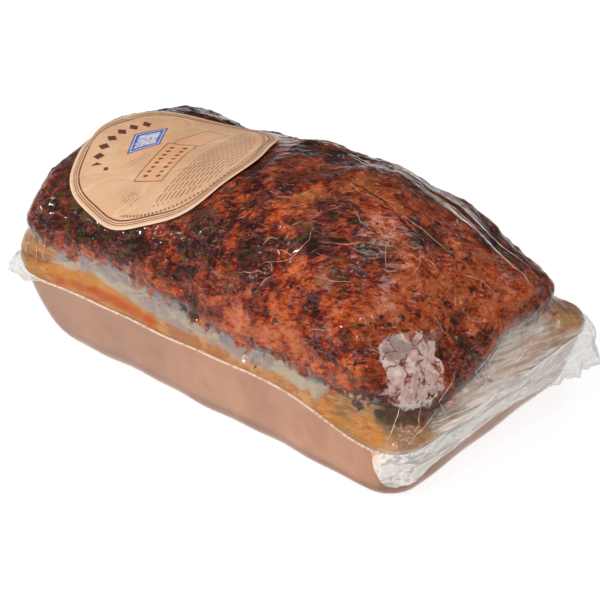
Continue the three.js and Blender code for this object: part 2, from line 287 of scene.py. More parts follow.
floor_mesh = bpy.data.meshes.new("floor")
floor_corners = [(x * FLOOR_SIZE / 2, y * FLOOR_SIZE / 2, -FLOOR_DROP) for x, y in FLOOR_CORNERS]
floor_mesh.from_pydata(floor_corners, [], [(0, 1, 2, 3)])
floor_finish = Finish("pale floor")
floor_tone = floor_finish.noise(400.0)
floor_look = {"Base Color": floor_finish.blend(floor_tone, grey(0.2), grey(0.24)), "Roughness": 0.6}
floor_look["Emission Color"] = floor_finish.blend(floor_tone, grey(0.96), grey(1.0))
floor_look["Emission Strength"] = FLOOR_GLOW
floor_mesh.materials.append(floor_finish.done(floor_finish.surface(floor_look)))
floor = bpy.data.objects.new("floor", floor_mesh)
scene.collection.objects.link(floor)

# %% [markdown]
# The block's form follows one rule, so it is written once more here, in millimetres: rounded boxes that
# shrink on curved paths from the base to the waist and from the crust's foot to the ridge. The same
# rule, asked for many more points, gives the fine surface that the measured model has no room for.

# %% The rounded boxes
def box_of(left, right, half, left_corner, right_corner):
    return np.array([left, right, half, left_corner, right_corner], float)


RIM = box_of(144, 140, 82, 13, 16)
CRUST = box_of(149, 126.5, 75, 16, 23)
SPINE = box_of(134, 28, 0, 44, 60)
NECK = box_of(130, 121.5, 71, 10, 18)
ROUND_STEPS = {"end": 70, "corner": 30, "long": 150}


def smoothstep(value, low, high):
    share = np.clip((value - low) / (high - low), 0, 1)
    return share * share * (3 - 2 * share)


def hump(place, centre, width, height):
    return height * np.exp(-(((place - centre) / width) ** 2))


def mix(one, other, share):
    return one + (other - one) * share


def outline(box, steps):
    """One anticlockwise turn from the middle of the +X end: places x, y and outward directions dx, dy."""
    left, right, half, left_corner, right_corner = box
    room = min(half, (left + right) / 2)
    near, far = min(right_corner, room), min(left_corner, room)
    corners = [
        (right - near, half - near, near, 0, steps["long"]),
        (far - left, half - far, far, 90, steps["end"]),
        (far - left, far - half, far, 180, steps["long"]),
        (right - near, near - half, near, 270, steps["end"]),
    ]
    parts = []
    for which, (x, y, radius, start, after) in enumerate(corners):
        angle = np.radians(start + 90 * np.arange(steps["corner"]) / steps["corner"])
        dx, dy = np.cos(angle), np.sin(angle)
        parts.append(np.stack([x + radius * dx, y + radius * dy, dx, dy], 1))
        out_x, out_y = math.cos(math.radians(start + 90)), math.sin(math.radians(start + 90))
        next_x, next_y, next_radius = corners[(which + 1) % 4][:3]
        share = np.arange(after) / after
        run_x = mix(x + radius * out_x, next_x + next_radius * out_x, share)
        run_y = mix(y + radius * out_y, next_y + next_radius * out_y, share)
        flat = np.ones(after)
        parts.append(np.stack([run_x, run_y, out_x * flat, out_y * flat], 1))
    return np.roll(np.concatenate(parts), steps["end"] // 2, axis=0).T


print("points in one turn", len(outline(RIM, ROUND_STEPS)[0]))

# %% [markdown]
# Heights that the pieces share: the welded waist sags at the near corner, the crust's foot falls and
# rises, and the ridge drops towards the low end. Small crossing waves keep the long lines uneven.

# %% Heights of the waist, the crust's foot and the ridge
WELD_Z, WELD_SAG, SAG_POWER, SAG_RUN, WELD_WAVE = 42, 13, 0.8, (50, 120), 0.5
FOOT_LEFT, FOOT_RIGHT, FOOT_WAVE = 62, 48, 1.8
# Humps as middle, width and height
FOOT_RISE, FOOT_DIP = (-65, 32, 7), (-30, 24, -12)
FOOT_STEP, STEP_RUN, FOOT_END = 8, (0, 30), (95, 125)
# The crest's place and height, then how far the ridge falls to each side and over what length
CREST_X, CREST_Z, CREST_LEFT, CREST_RIGHT = 31, 127, (18, 145), (29, 95)
CREST_HOLLOW, CREST_SWELL = (-95, 34, -6), (-22, 16, 2.5)
FILM_ROOM = 1.5  # the ridge is this much lower than the measured one, which has the film's room in it
LEFT_POWER, RIGHT_POWER, SIDE_POWER = 6, 1.95, 2.14
# A long and a short wave, each as its reach along x, its reach along y and its start
WELD_WAVES = ((17, 13, 0), (7.3, 9.1, 0))
FOOT_WAVES = ((11, 8, 0), (5.7, 6.3, 1))


def uneven(x, y, waves):
    (long_x, long_y, long_start), (short_x, short_y, short_start) = waves
    long_wave = np.sin(x / long_x + y / long_y + long_start)
    return long_wave + np.sin(x / short_x - y / short_y + short_start) / 2


def along_share(x):
    return np.clip((x + RIM[0]) / (RIM[0] + RIM[1]), 0, 1)


def across_share(y):
    return np.clip((y + RIM[2]) / (2 * RIM[2]), 0, 1)


def weld_height(x, y):
    sag = smoothstep(x, *SAG_RUN) * (1 - across_share(y) ** SAG_POWER)
    return WELD_Z - WELD_SAG * sag + WELD_WAVE * uneven(x, y, WELD_WAVES)


def smooth_foot(x, y):
    end = smoothstep(x, *FOOT_END) * (hump(y, *FOOT_DIP) + FOOT_STEP * smoothstep(y, *STEP_RUN))
    return mix(FOOT_LEFT, FOOT_RIGHT, along_share(x)) + hump(x, *FOOT_RISE) + end


def foot_height(x, y):
    return smooth_foot(x, y) + FOOT_WAVE * uneven(x, y, FOOT_WAVES) / 1.5


def crest_height(x):
    left = CREST_Z - CREST_LEFT[0] * (CREST_X - x) / CREST_LEFT[1]
    left = left + hump(x, *CREST_HOLLOW) + hump(x, *CREST_SWELL)
    right = CREST_Z - CREST_RIGHT[0] * ((x - CREST_X) / CREST_RIGHT[1]) ** 2
    return np.where(x > CREST_X, right, left) - FILM_ROOM


def dome_box(level):
    """The dome's outline at a level from 0, the crust's foot, to 1, the ridge."""
    arcs = [(1 - level**power) ** (1 / power) for power in (LEFT_POWER, RIGHT_POWER, SIDE_POWER)]
    sides = [mix(SPINE[side], CRUST[side], arcs[side]) for side in range(3)]
    return sides + [mix(CRUST[corner], SPINE[corner], level**2) for corner in (3, 4)]


def dome_height(x, y, level):
    smooth = smooth_foot(x, y)
    foot = mix(foot_height(x, y), smooth, smoothstep(level, 0, 0.3))
    return foot + level * (crest_height(x) - smooth)


print("ridge height", float(crest_height(np.array(CREST_X))))

# %% [markdown]
# Crags are waves in many directions added up, the same ones as in the measured crust. Finer relief
# comes from fractal noise, which has no rule to repeat.

# %% Crags and noise
GOLDEN_ANGLE = math.pi * (3 - math.sqrt(5))
CRAG_HEIGHT, CRAG_LEVEL = 3.0, 0.45
COARSE_CRAG, FINE_CRAG = (46, 9, 0.22), (27, 11, 0.2)  # wavelength, count and share of the waves
LABEL_X, LABEL_Y, LABEL_RADIUS, LABEL_MARGIN = -84.5, -14.5, 59, 3


def lumps(points, wavelength, count, share):
    x, y, z = points[..., 0], points[..., 1], points[..., 2]
    total = 0
    for k in range(count):
        turn = (k + 1) * GOLDEN_ANGLE
        rise = 1 - (2 * k + 1) / count
        flat = math.sqrt(1 - rise * rise)
        along = x * flat * math.cos(turn) + y * flat * math.sin(turn) + z * rise
        total = total + np.sin(2 * math.pi * along / wavelength + 3 * turn)
    return share * (total / math.sqrt(count / 2))


def label_clearance(points):
    """0 where the label presses the crust flat, rising to 1 round it."""
    away = np.hypot(points[..., 0] - LABEL_X, points[..., 1] - LABEL_Y)
    return smoothstep(away, LABEL_RADIUS + LABEL_MARGIN, LABEL_RADIUS + 4 * LABEL_MARGIN)


def crag(points):
    swell = np.clip(CRAG_LEVEL + lumps(points, *COARSE_CRAG) + lumps(points, *FINE_CRAG), 0, 1)
    return CRAG_HEIGHT * label_clearance(points) * swell


def rough(points, size, octaves=3, seed=0.0):
    """Fractal noise of about -1 to 1, with lumps of about size millimetres."""
    flat = points.reshape(-1, 3) / size + seed
    values = [noise.fractal(Vector(p), 0.7, 2.0, octaves) for p in flat]
    return np.array(values).reshape(points.shape[:-1])


# %% [markdown]
# Rings of points become a skin of four-sided faces. Every closed piece starts this way.

# %% From rings to a mesh
def skin_faces(rows, columns, closed):
    strips = rows if closed else rows - 1
    row, column = np.meshgrid(np.arange(strips), np.arange(columns), indexing="ij")
    above, side = (row + 1) % rows, (column + 1) % columns
    corners = [(row, column), (row, side), (above, side), (above, column)]
    return np.stack([r * columns + c for r, c in corners], -1).reshape(-1, 4).tolist()


def cap_faces(first, columns):
    """Strips across a ring that is the same on both sides of its long axis."""
    half, end = columns // 2, first + columns
    faces = [(first, first + 1, end - 1)]
    faces += [(first + i, first + i + 1, end - i - 1, end - i) for i in range(1, half - 1)]
    faces.append((first + half - 1, first + half, first + half + 1))
    return faces


def outward(grid):
    """Outward directions of a grid of rings, from its neighbours along and up."""
    along = np.roll(grid, -1, 1) - np.roll(grid, 1, 1)
    up = np.gradient(grid, axis=0)
    normal = np.cross(along, up)
    return normal / np.maximum(np.linalg.norm(normal, axis=-1, keepdims=True), 1e-9)


def mesh_piece(name, points, faces, materials, fields):
    """A smooth piece from points in millimetres about the block's own middle."""
    mesh = bpy.data.meshes.new(name)
    mesh.from_pydata(((points + PACK_SHIFT) * MM).tolist(), [], faces)
    for material in materials:
        mesh.materials.append(material)
    for field, values in fields.items():
        attribute = mesh.attributes.new(field, "FLOAT", "POINT")
        attribute.data.foreach_set("value", np.asarray(values, np.float32))
    mesh.shade_smooth()
    piece = bpy.data.objects.new(name, mesh)
    scene.collection.objects.link(piece)
    return piece


def tell(piece):
    places = np.array([vertex.co for vertex in piece.data.vertices]) / MM
    print(piece.name, len(piece.data.polygons), "faces", places.min(0).round(1), places.max(0).round(1))


# %% [markdown]
# Things that are strewn over a surface or follow a path on it are made by Geometry Nodes. `Rule` holds
# such a tree with named inputs, and gives back a plain mesh, because the exported model keeps no rules.

# %% Geometry Nodes helper
SOCKET_KINDS = {float: "Float", int: "Int", bpy.types.Object: "Object", bpy.types.Material: "Material"}


class Rule(Tree):
    """A Geometry Nodes tree that is fed a base mesh and named inputs."""

    def __init__(self, name, inputs):
        super().__init__(bpy.data.node_groups.new(name, "GeometryNodeTree"))
        interface = self.tree.interface
        interface.new_socket("Geometry", in_out="INPUT", socket_type="NodeSocketGeometry")
        interface.new_socket("Geometry", in_out="OUTPUT", socket_type="NodeSocketGeometry")
        self.values = {}
        for label, value in inputs.items():
            kind = next(kind for form, kind in SOCKET_KINDS.items() if isinstance(value, form))
            socket = interface.new_socket(label, in_out="INPUT", socket_type="NodeSocket" + kind)
            self.values[socket.identifier] = value
        self.entry = self.tree.nodes.new("NodeGroupInput")

    def given(self, label):
        return Wire(self, self.entry.outputs[label])

    def shape_of(self, label):
        """The mesh of the piece that is given under a label."""
        return self.add("GeometryNodeObjectInfo", None, {"Object": self.given(label)}, "Geometry")

    def scattered(self, low, high, seed):
        """A different number between low and high for each point."""
        sockets = {"Min": low, "Max": high, "Seed": seed}
        return self.add("FunctionNodeRandomValue", {"data_type": "FLOAT"}, sockets, "Value")

    def laid_on(self, surface, curves):
        """Curves, with each point moved to the nearest point of a surface."""
        here = self.add("GeometryNodeInputPosition", out="Position")
        sockets = {"Mesh": surface, "Value": here, "Sample Position": here}
        settings = {"data_type": "FLOAT_VECTOR"}
        nearest = self.add("GeometryNodeSampleNearestSurface", settings, sockets, "Value")
        return self.add("GeometryNodeSetPosition", None, {"Geometry": curves, "Position": nearest})

    def swept(self, curves, sides, taper):
        """A thin section along curves. taper turns the share of a curve's length into thickness."""
        share = self.add("GeometryNodeSplineParameter", out="Factor")
        section = {"Resolution": sides, "Radius": self.given("Thickness")}
        section = self.add("GeometryNodeCurvePrimitiveCircle", None, section)
        sockets = {"Curve": curves, "Profile Curve": section, "Scale": taper(share)}
        return self.add("GeometryNodeCurveToMesh", None, sockets)

    def made(self, name, geometry, base):
        """Applies the tree to a base mesh and returns the result as a new piece."""
        real = self.add("GeometryNodeRealizeInstances", None, {"Geometry": geometry})
        smooth = self.add("GeometryNodeSetShadeSmooth", None, {"Geometry": real})
        sockets = {"Geometry": smooth, "Material": self.given("Material")}
        painted = self.add("GeometryNodeSetMaterial", None, sockets)
        exit_node = self.tree.nodes.new("NodeGroupOutput")
        self.tree.links.new(painted.socket, exit_node.inputs[0])
        carrier = bpy.data.objects.new(name + " base", base)
        scene.collection.objects.link(carrier)
        modifier = carrier.modifiers.new(name, "NODES")
        modifier.node_group = self.tree
        for identifier, value in self.values.items():
            modifier[identifier] = value
        bpy.context.view_layer.update()
        evaluated = carrier.evaluated_get(bpy.context.evaluated_depsgraph_get())
        mesh = bpy.data.meshes.new_from_object(evaluated)
        carrier.modifiers.remove(modifier)
        bpy.data.objects.remove(carrier)
        mesh.name = name
        piece = bpy.data.objects.new(name, mesh)
        scene.collection.objects.link(piece)
        return piece


print("Geometry Nodes rules take", list(SOCKET_KINDS.values()))

# %% [markdown]
# The block was cast in a tin, so its lower wall leans in towards the base and rounds off under itself.
# The wall is smooth enough for few rings, set closer where it curls.

# %% Rings of the moulded wall
PACK_SHIFT = np.array([2.622, -1.492, 0.0])  # where the block's middle stands in the frame, mm
TAPER = (6, 10, 5)
EDGE_INSET = (22, 7, 6)
EDGE_HEIGHT = (32, 11, 11)
BASE_CORNER, BASE_FLARE = 17, 0.08
BASE_SKEW, SKEW_RUN = 7, (40, 120)
BASE_WAVE, BASE_WAVES = 0.8, ((15, math.inf, 2), (6.1, 8, 0))
FILM_UNDER = 0.15  # the film that the block stands on, mm


def wall_box(share):
    sides = []
    for which in range(3):
        climb = min(share * WELD_Z / EDGE_HEIGHT[which], 1)
        curl = 1 - math.sqrt(1 - (1 - climb) ** 2)
        sides.append(RIM[which] - TAPER[which] * (1 - share) - EDGE_INSET[which] * curl)
    return np.array(sides + [mix(BASE_CORNER, RIM[3], share), mix(BASE_CORNER, RIM[4], share)])


def wall_ring(share, offset=0.0):
    """The wall's ring at a share of the way up to the waist, moved out by offset."""
    x, y, dx, dy = outline(wall_box(share), ROUND_STEPS)
    low = 1 - share
    out = BASE_WAVE * uneven(x, y, BASE_WAVES) * low
    skew = BASE_SKEW * low * smoothstep(x, *SKEW_RUN) * (y / RIM[2])
    flare = 1 + BASE_FLARE * low * (x / RIM[1])
    height = FILM_UNDER + share * (weld_height(x, y) - FILM_UNDER)
    return np.stack([x + dx * (out + offset) - skew, (y + dy * (out + offset)) * flare, height], 1)


WALL_SHARES = [0, 0.012, 0.03, 0.055, 0.085, 0.12, 0.16, 0.2, 0.25, *np.linspace(0.31, 1, 15)]
print("wall rings", len(WALL_SHARES), "base", wall_ring(0).min(0).round(1), wall_ring(0).max(0).round(1))

# %% [markdown]
# Set fat and jelly gathered round the waist, under the crust. In section the collar leans out from the
# waist, swells, and stands up to the crust's edge, with extra swells at two corners.

# %% Rings of the collar
COLLAR_LEVELS, COLLAR_SHARES, COLLAR_SWELLS = (0, 0.28, 0.62, 1), (0, 0.45, 0.9, 1), (0, 1, 1, 0)
COLLAR_BULGE, LEFT_BULGE, NECK_GAP = 1.6, 3.0, 0.3
CORNER_X, CORNER_Y, CORNER_WIDTH, CORNER_HEIGHT = 136, 78, 24, 8


def eased(level, levels, values):
    """Straight runs between values, with their corners rounded off."""
    return np.mean([np.interp(level + step, levels, values) for step in (-0.09, -0.045, 0, 0.045, 0.09)])


def collar_ring(level):
    swell = 0.0 if level in (0, 1) else eased(level, COLLAR_LEVELS, COLLAR_SWELLS)
    share = level if level in (0, 1) else eased(level, COLLAR_LEVELS, COLLAR_SHARES)
    box = mix(RIM, CRUST, share) + COLLAR_BULGE * swell
    box[0] += LEFT_BULGE * swell
    x, y, dx, dy = outline(box, ROUND_STEPS)
    out = hump(np.hypot(x - CORNER_X, y - CORNER_Y), 0, CORNER_WIDTH, CORNER_HEIGHT) * swell
    rim_x, rim_y = outline(RIM, ROUND_STEPS)[:2]
    crust_x, crust_y = outline(CRUST, ROUND_STEPS)[:2]
    height = mix(weld_height(rim_x, rim_y), foot_height(crust_x, crust_y), level)
    return np.stack([x + dx * out, y + dy * out, height], 1)


def flat_ring(box, heights):
    x, y = outline(box, ROUND_STEPS)[:2]
    return np.stack([x, y, heights], 1)


COLLAR_RINGS = np.linspace(0, 1, 25)
weld_line = collar_ring(0)[:, 2]
foot_line = collar_ring(1)[:, 2]
for name, line in (("waist", weld_line), ("foot", foot_line)):
    print(name, "from", line.min().round(1), "to", line.max().round(1))

# %% [markdown]
# The crust's rings climb from its foot to the ridge. They are spaced like the hours of a quarter circle,
# so that they stay about evenly apart along the curved surface.

# %% Rings of the crust
DOME_RINGS, TOP_LEVEL = 122, 0.99998


def dome_ring(level):
    x, y = outline(dome_box(level), ROUND_STEPS)[:2]
    return np.stack([x, y, dome_height(x, y, level)], 1)


dome_levels = np.sin(math.asin(TOP_LEVEL) * np.arange(DOME_RINGS + 1) / DOME_RINGS)
dome = np.array([dome_ring(level) for level in dome_levels])
dome_out = outward(dome)
above_foot = (dome_levels[:, None] * (crest_height(dome[..., 0]) - foot_line)) + 0 * dome[..., 0]
print("dome grid", dome.shape[:2], "top", dome[..., 2].max().round(1))

# %% [markdown]
# What lies on the dome is placed by its plan: the surface's height over any plan point is found by
# halving the range of levels until the outline passes through the point.

# %% Height and direction of the dome over a plan point
def distance_outside(box, x, y):
    left, right, half, left_corner, right_corner = box
    radius = np.minimum(np.where(x < 0, left_corner, right_corner), np.minimum(half, (left + right) / 2))
    over_x = np.maximum(x - right, -left - x) + radius
    over_y = np.abs(y) - half + radius
    inside = np.minimum(np.maximum(over_x, over_y), 0)
    return inside + np.hypot(np.maximum(over_x, 0), np.maximum(over_y, 0)) - radius


def on_dome(x, y):
    """Points of the smooth dome above plan points, found by halving."""
    low, high = np.zeros_like(x), np.ones_like(x)
    for _ in range(30):
        level = (low + high) / 2
        out = distance_outside(dome_box(level), x, y) > 0
        low, high = np.where(out, low, level), np.where(out, level, high)
    return np.stack([x, y, dome_height(x, y, low)], -1)


def dome_normal(x, y, reach=1.5):
    along_x = on_dome(x + reach, y) - on_dome(x - reach, y)
    along_y = on_dome(x, y + reach) - on_dome(x, y - reach)
    normal = np.cross(along_x, along_y)
    return normal / np.linalg.norm(normal, axis=-1, keepdims=True)


print("height over the label's middle", on_dome(np.array([LABEL_X]), np.array([LABEL_Y])).round(1))

# %% [markdown]
# The crust's relief has three parts: crags, lumps of meat between them, and pits where fat ran out. The
# film bridges the pits, so its own height is worked out from the same relief and never dips below it.

# %% Relief of the crust and of the film over it
LUMP_SIZE, LUMP_HEIGHT = 9.0, 0.9
GRAIN_SIZE, GRAIN_HEIGHT = 3.4, 0.5
DEEPEST_PIT, HIGHEST_LUMP, BRIDGED_PIT = -1.3, 0.75, -0.15
FOOT_FADE = (0, 7)  # the relief grows over these millimetres above the crust's foot
WRINKLE_SIZE, WRINKLE_HEIGHT, WRINKLE_SHARPNESS = 16.0, 0.45, 2.2
FILM_GAP = 0.35

fade = smoothstep(above_foot, *FOOT_FADE)
clear = label_clearance(dome) * fade
crags = crag(dome) * fade
meat = LUMP_HEIGHT * rough(dome, LUMP_SIZE, 3) + GRAIN_HEIGHT * rough(dome, GRAIN_SIZE, 3, seed=7.3)
meat = np.clip(meat, DEEPEST_PIT, HIGHEST_LUMP) * mix(0.15, 1, clear)
wrinkle = (1 - np.abs(rough(dome, WRINKLE_SIZE, 2, seed=3.1)) * WRINKLE_SHARPNESS).clip(0, 1) ** 3
film_rise = crags + np.maximum(meat, BRIDGED_PIT) + FILM_GAP + WRINKLE_HEIGHT * wrinkle * clear
crust = dome + dome_out * (crags + meat)[..., None]
film_dome = dome + dome_out * film_rise[..., None]
print("relief", meat.min().round(2), "to", meat.max().round(2), "mm; film", film_dome[..., 2].max().round(2))

# %% [markdown]
# Colour follows place: some patches of the crust burned, others stayed orange, one is pale and cracked
# with its pinks brightened as a painted highlight, and the collar is fat here and amber jelly there, with
# small painted glints at the near corner. Each of these is a soft field about a short path.

# %% Fields of colour over the surface
def near(points, path, width, stretch=(1, 1, 1)):
    """1 on a path of points, falling softly to 0 at about twice the width."""
    scale = np.array(stretch, float)
    spots = points.reshape(-1, 3) / scale
    path = np.array(path, float) / scale
    best = np.full(len(spots), np.inf)
    for start, end in zip(path, path[1:] if len(path) > 1 else path):
        run = end - start
        share = np.clip((spots - start) @ run / max(run @ run, 1e-9), 0, 1)
        best = np.minimum(best, np.linalg.norm(spots - start - share[:, None] * run, axis=1))
    return np.exp(-((best / width) ** 2)).reshape(points.shape[:-1])


def most(*fields):
    return np.max(fields, axis=0)


# The pale patch: pale fat whose pinks are brightened as a painted highlight of the film over it
PALE_PATCH = [(115.5, -48.5, 68), (120.5, -46.5, 60)]
ASHEN_FLAKE = [(110, -52, 72)]
# Where small white glints on the wet jelly at the near corner are painted into the colour
GLINT_PLACES = [(123.2, -63.1, 49.8), (126.8, -52.3, 48.1), (127.3, -45.2, 44)]
BURNT = [
    ([(-140, -40, 85), (-128, -66, 80), (-90, -72, 84), (-50, -70, 88), (-25, -62, 100)], 19),
    ([(-20, -20, 121), (0, -40, 117), (28, -69, 87)], 11),
    ([(38, -48, 112), (52, -38, 114)], 9),
    ([(113, -7.8, 75), (121, -12, 63)], 7),
    ([(81, 4, 109)], 8),
    ([(-20, 25, 120), (30, 32, 118), (70, 50, 100), (110, 55, 80)], 10),
    ([(-145, 0, 80), (-140, 50, 85), (-60, 70, 90)], 22),
    ([(73, -33, 108), (75, -54, 98)], 9),
    ([(102, -51, 85)], 6),
    ([(28, -52, 108)], 5),
    ([(11, -60, 101)], 5),
]
ORANGE = [
    ([(108, 20, 84), (106, -12, 85)], 16),
    ([(80, -56, 95), (105, -48, 83)], 12),
    ([(118, 24, 74), (120, 40, 66)], 13),
    ([(60, 10, 120), (40, 5, 124), (64, -12, 116)], 10),
    ([(-100, -77, 62), (-60, -76, 66), (-30, -75, 66)], 5.5),
    ([(10, -73, 62), (60, -72, 62)], 10),
    ([(97, -31, 94), (100, -10, 92)], 11),
    ([(19, -19, 124), (15, -39, 119)], 6),
    ([(40, -60, 100)], 6),
    ([(75, -13, 111), (92, -16, 101)], 7),
]
FLAME_STREAK = [(-112, -81, 45.5), (-100, -81, 46), (-86, -80.5, 48), (-71, -80.6, 48.2)]
FLAME_STREAK += [(-56, -81, 46.6), (-42, -81, 45)]
YELLOW_STREAK = [(-118, -79, 49), (-108, -79, 50.7), (-92, -78.6, 52.6), (-76, -79.2, 51.7), (-64, -80, 49.5)]
LEFT_AMBER = [(-128, -80, 48), (-140, -77, 50), (-149, -60, 54), (-149, 0, 55), (-146, 60, 55)]
NEAR_AMBER = [(88, -79, 42), (99, -77, 42), (114, -78, 40), (120, -70, 43), (130, -66, 38)]
NEAR_AMBER += [(139, -56, 33), (140, -44, 34)]
FAR_AMBER = [(116, 82, 50), (136, 76, 50), (141, 58, 46)]
AMBER = [(LEFT_AMBER, 12), (NEAR_AMBER, 11), (FAR_AMBER, 13)]
WET = [(119, -71, 46), (124, -64, 44), (127, -56, 42), (128, -42, 38), (130, -33, 36)]
DARK_SPOTS = [(64, -75, 52.5), (101.7, -75, 48.5), (104, -75, 47.5)]
DARK_SPOTS += [(115.6, -73, 46.5), (135, 56, 53), (132, 62, 56)]
CREAM_SPOT = [(83, -76, 53), (95, -76, 52.5), (106, -75, 52.5)]
# Each field as its paths, with their widths, and how far it is stretched
FIELDS = {
    "burnt": (BURNT, (1, 1, 1)),
    "orange": (ORANGE, (1, 1, 1)),
    "pale": ([(PALE_PATCH, 14.5)], (1, 1.5, 1)),
    "ashen": ([(ASHEN_FLAKE, 8)], (1, 1, 1)),
    "shards": ([(GLINT_PLACES, 4.5)], (1, 1, 1)),
    "hot_streak": ([(FLAME_STREAK, 4.6)], (1, 1, 1)),
    "yellow": ([(YELLOW_STREAK, 4.0)], (1, 1, 1)),
    "amber": (AMBER, (1, 1, 1)),
    "wet": ([(WET, 7.5)], (1, 1, 1)),
    "spots": ([([spot], 2.6) for spot in DARK_SPOTS], (1.6, 1, 1)),
    "cream": ([(CREAM_SPOT, 3.2)], (1, 1, 1)),
}


def colour_fields(points, above, rise):
    fields = {"above": above, "rise": rise}
    fields["near_end"] = smoothstep(points[..., 0], 122, 134)
    fields["left_end"] = smoothstep(-points[..., 0], 128, 142)
    for name, (paths, stretch) in FIELDS.items():
        fields[name] = most(*[near(points, path, width, stretch) for path, width in paths])
    return {name: values.ravel() for name, values in fields.items()}


print("fields", list(colour_fields(dome[:1], above_foot[:1], above_foot[:1])))

# %% [markdown]
# Crust and collar meet in a ragged, blotchy line rather than a seam. Both finishes are therefore built
# by one function, and a noise decides where brown gives way to fat.

# %% Colours of the browned crust
WARM = [(32, 19, 14), (66, 28, 18), (120, 38, 20), (166, 58, 24), (190, 84, 36), (206, 120, 68)]
PLUM = [(32, 19, 14), (56, 26, 28), (94, 32, 32), (118, 48, 44), (148, 76, 60), (186, 120, 98)]
HEAT_LEVELS = (0.0, 0.26, 0.42, 0.56, 0.72, 1.0)
MEAN_HEAT, ORANGE_HEAT, BURNT_HEAT = 0.585, 0.21, -0.33
OLIVE_BROWN, BLACK_GREEN, GAP_BROWN = srgb(88, 70, 34), srgb(32, 31, 22), srgb(44, 20, 16)
STRAND, CRACK = srgb(206, 138, 104), srgb(136, 48, 38)
PINK_AND_HIGHLIGHT, PINK_SHADE, GLINT_WHITE = srgb(246, 222, 214), srgb(218, 180, 172), srgb(236, 222, 214)
LILAC_GREY = srgb(166, 148, 142)
GRAIN_TURN = 37  # the meat's grain runs this way in plan, degrees from +X
THREAD = (0.003, 0.02)  # how near its middle a noise stays along a thread


def crust_colour(finish):
    """Browning: a warm range and a plum one, each from char to its palest, pushed about by the fields."""
    large = finish.noise(34, 3, 0.55, 0.6)
    middle = finish.noise(9, 5, 0.64, 0.7, finish.stretched((1.5, 1.0, 1.0), GRAIN_TURN))
    small = finish.noise(3.6, 5, 0.68, 0.5, finish.stretched((1.8, 1.0, 1.0), GRAIN_TURN + 5))
    fine = finish.noise(1.5, 3, 0.65, 0.4, finish.stretched((2.4, 1.0, 1.0), GRAIN_TURN))
    orange, burnt = finish.field("orange"), finish.field("burnt")
    heat = MEAN_HEAT + (large - 0.5) + (middle - 0.5) * 1.6 + (small - 0.5) * 1.6 + (fine - 0.5) * 1.3
    heat = heat + orange * ORANGE_HEAT + burnt * BURNT_HEAT
    hue = finish.noise(16, 4, 0.6, 1.1) + burnt * 0.06 - orange * 0.2
    warm, plum = finish.ramp(heat, HEAT_LEVELS, WARM), finish.ramp(heat, HEAT_LEVELS, PLUM)
    olive = finish.noise(15, 5, 0.65, 1.4).above(0.55, 0.62) * (0.5 + burnt * 0.3)
    fibres = finish.noise(5, 4, 0.62, 1.4, finish.stretched((3.4, 1.0, 1.0), GRAIN_TURN - 3))
    strands = fibres.within(0.5, *THREAD) * middle.above(0.36, 0.6) * (0.45 + orange * 0.25)
    gaps = finish.noise(8, 4, 0.6, 1.4).within(0.5, *THREAD) * small.above(0.3, 0.6) * 0.5
    spots = finish.noise(7, 3, 0.5, 0.6).above(0.64, 0.675) * 0.85
    wobble = (small - 0.5) * 0.25 + (finish.noise(16, 2, 0.5, 0.4) - 0.5) * 1.6
    holes = finish.noise(9, 3, 0.6, 0.8).above(0.58, 0.61) * 0.85
    # The pale, cracked patch is pale fat; both its pinks are brightened as a painted highlight of the film
    # over it.
    patch = (finish.field("pale") + wobble).above(0.4, 0.46) * (1 - holes)
    flake = finish.blend(finish.noise(5, 4, 0.6, 0.8).above(0.42, 0.64), PINK_AND_HIGHLIGHT, PINK_SHADE)
    ashen = finish.patchy("ashen", finish.noise(8, 3), 2.4, 0.42, 0.5)
    cracks = (1 - finish.broken(13).above(0.005, 0.045)) * finish.noise(7, 2).above(0.4, 0.55)
    flake = finish.layered(flake, (ashen * 0.65, LILAC_GREY), (cracks * 0.9, CRACK))
    # White slivers at the near corner are painted glints on the wet jelly.
    glint_slivers = finish.noise(5, 2, 0.5, 1.6, finish.stretched((1.8, 1.0, 1.0), 20)) - 0.5
    glint_slivers = (finish.field("shards") * 0.55 + glint_slivers).above(0.42, 0.47)
    browned = finish.blend(hue.above(0.48, 0.56), warm, plum)
    layers = [(olive, OLIVE_BROWN), (strands, STRAND), (gaps, GAP_BROWN), (spots, BLACK_GREEN)]
    return finish.layered(browned, *layers, (patch * 0.97, flake), (glint_slivers, GLINT_WHITE))


print("crust colours from", WARM[0], "to", WARM[-1], "and", PLUM[-1])

# %% Colours of the fat and jelly
PEACH, PEACH_DEEP, HAZY_PINK = srgb(198, 148, 98), srgb(176, 118, 72), srgb(190, 152, 136)
GREY_CREAM, BLUE_GREY, CREAM = srgb(184, 170, 148), srgb(132, 134, 134), srgb(228, 204, 172)
JELLY, JELLY_DEEP, OLIVE_JELLY = srgb(198, 132, 50), srgb(150, 86, 34), srgb(160, 128, 78)
FLAME, WET_BROWN, DARK_SPOT = srgb(186, 86, 2), srgb(100, 68, 38), srgb(58, 44, 36)


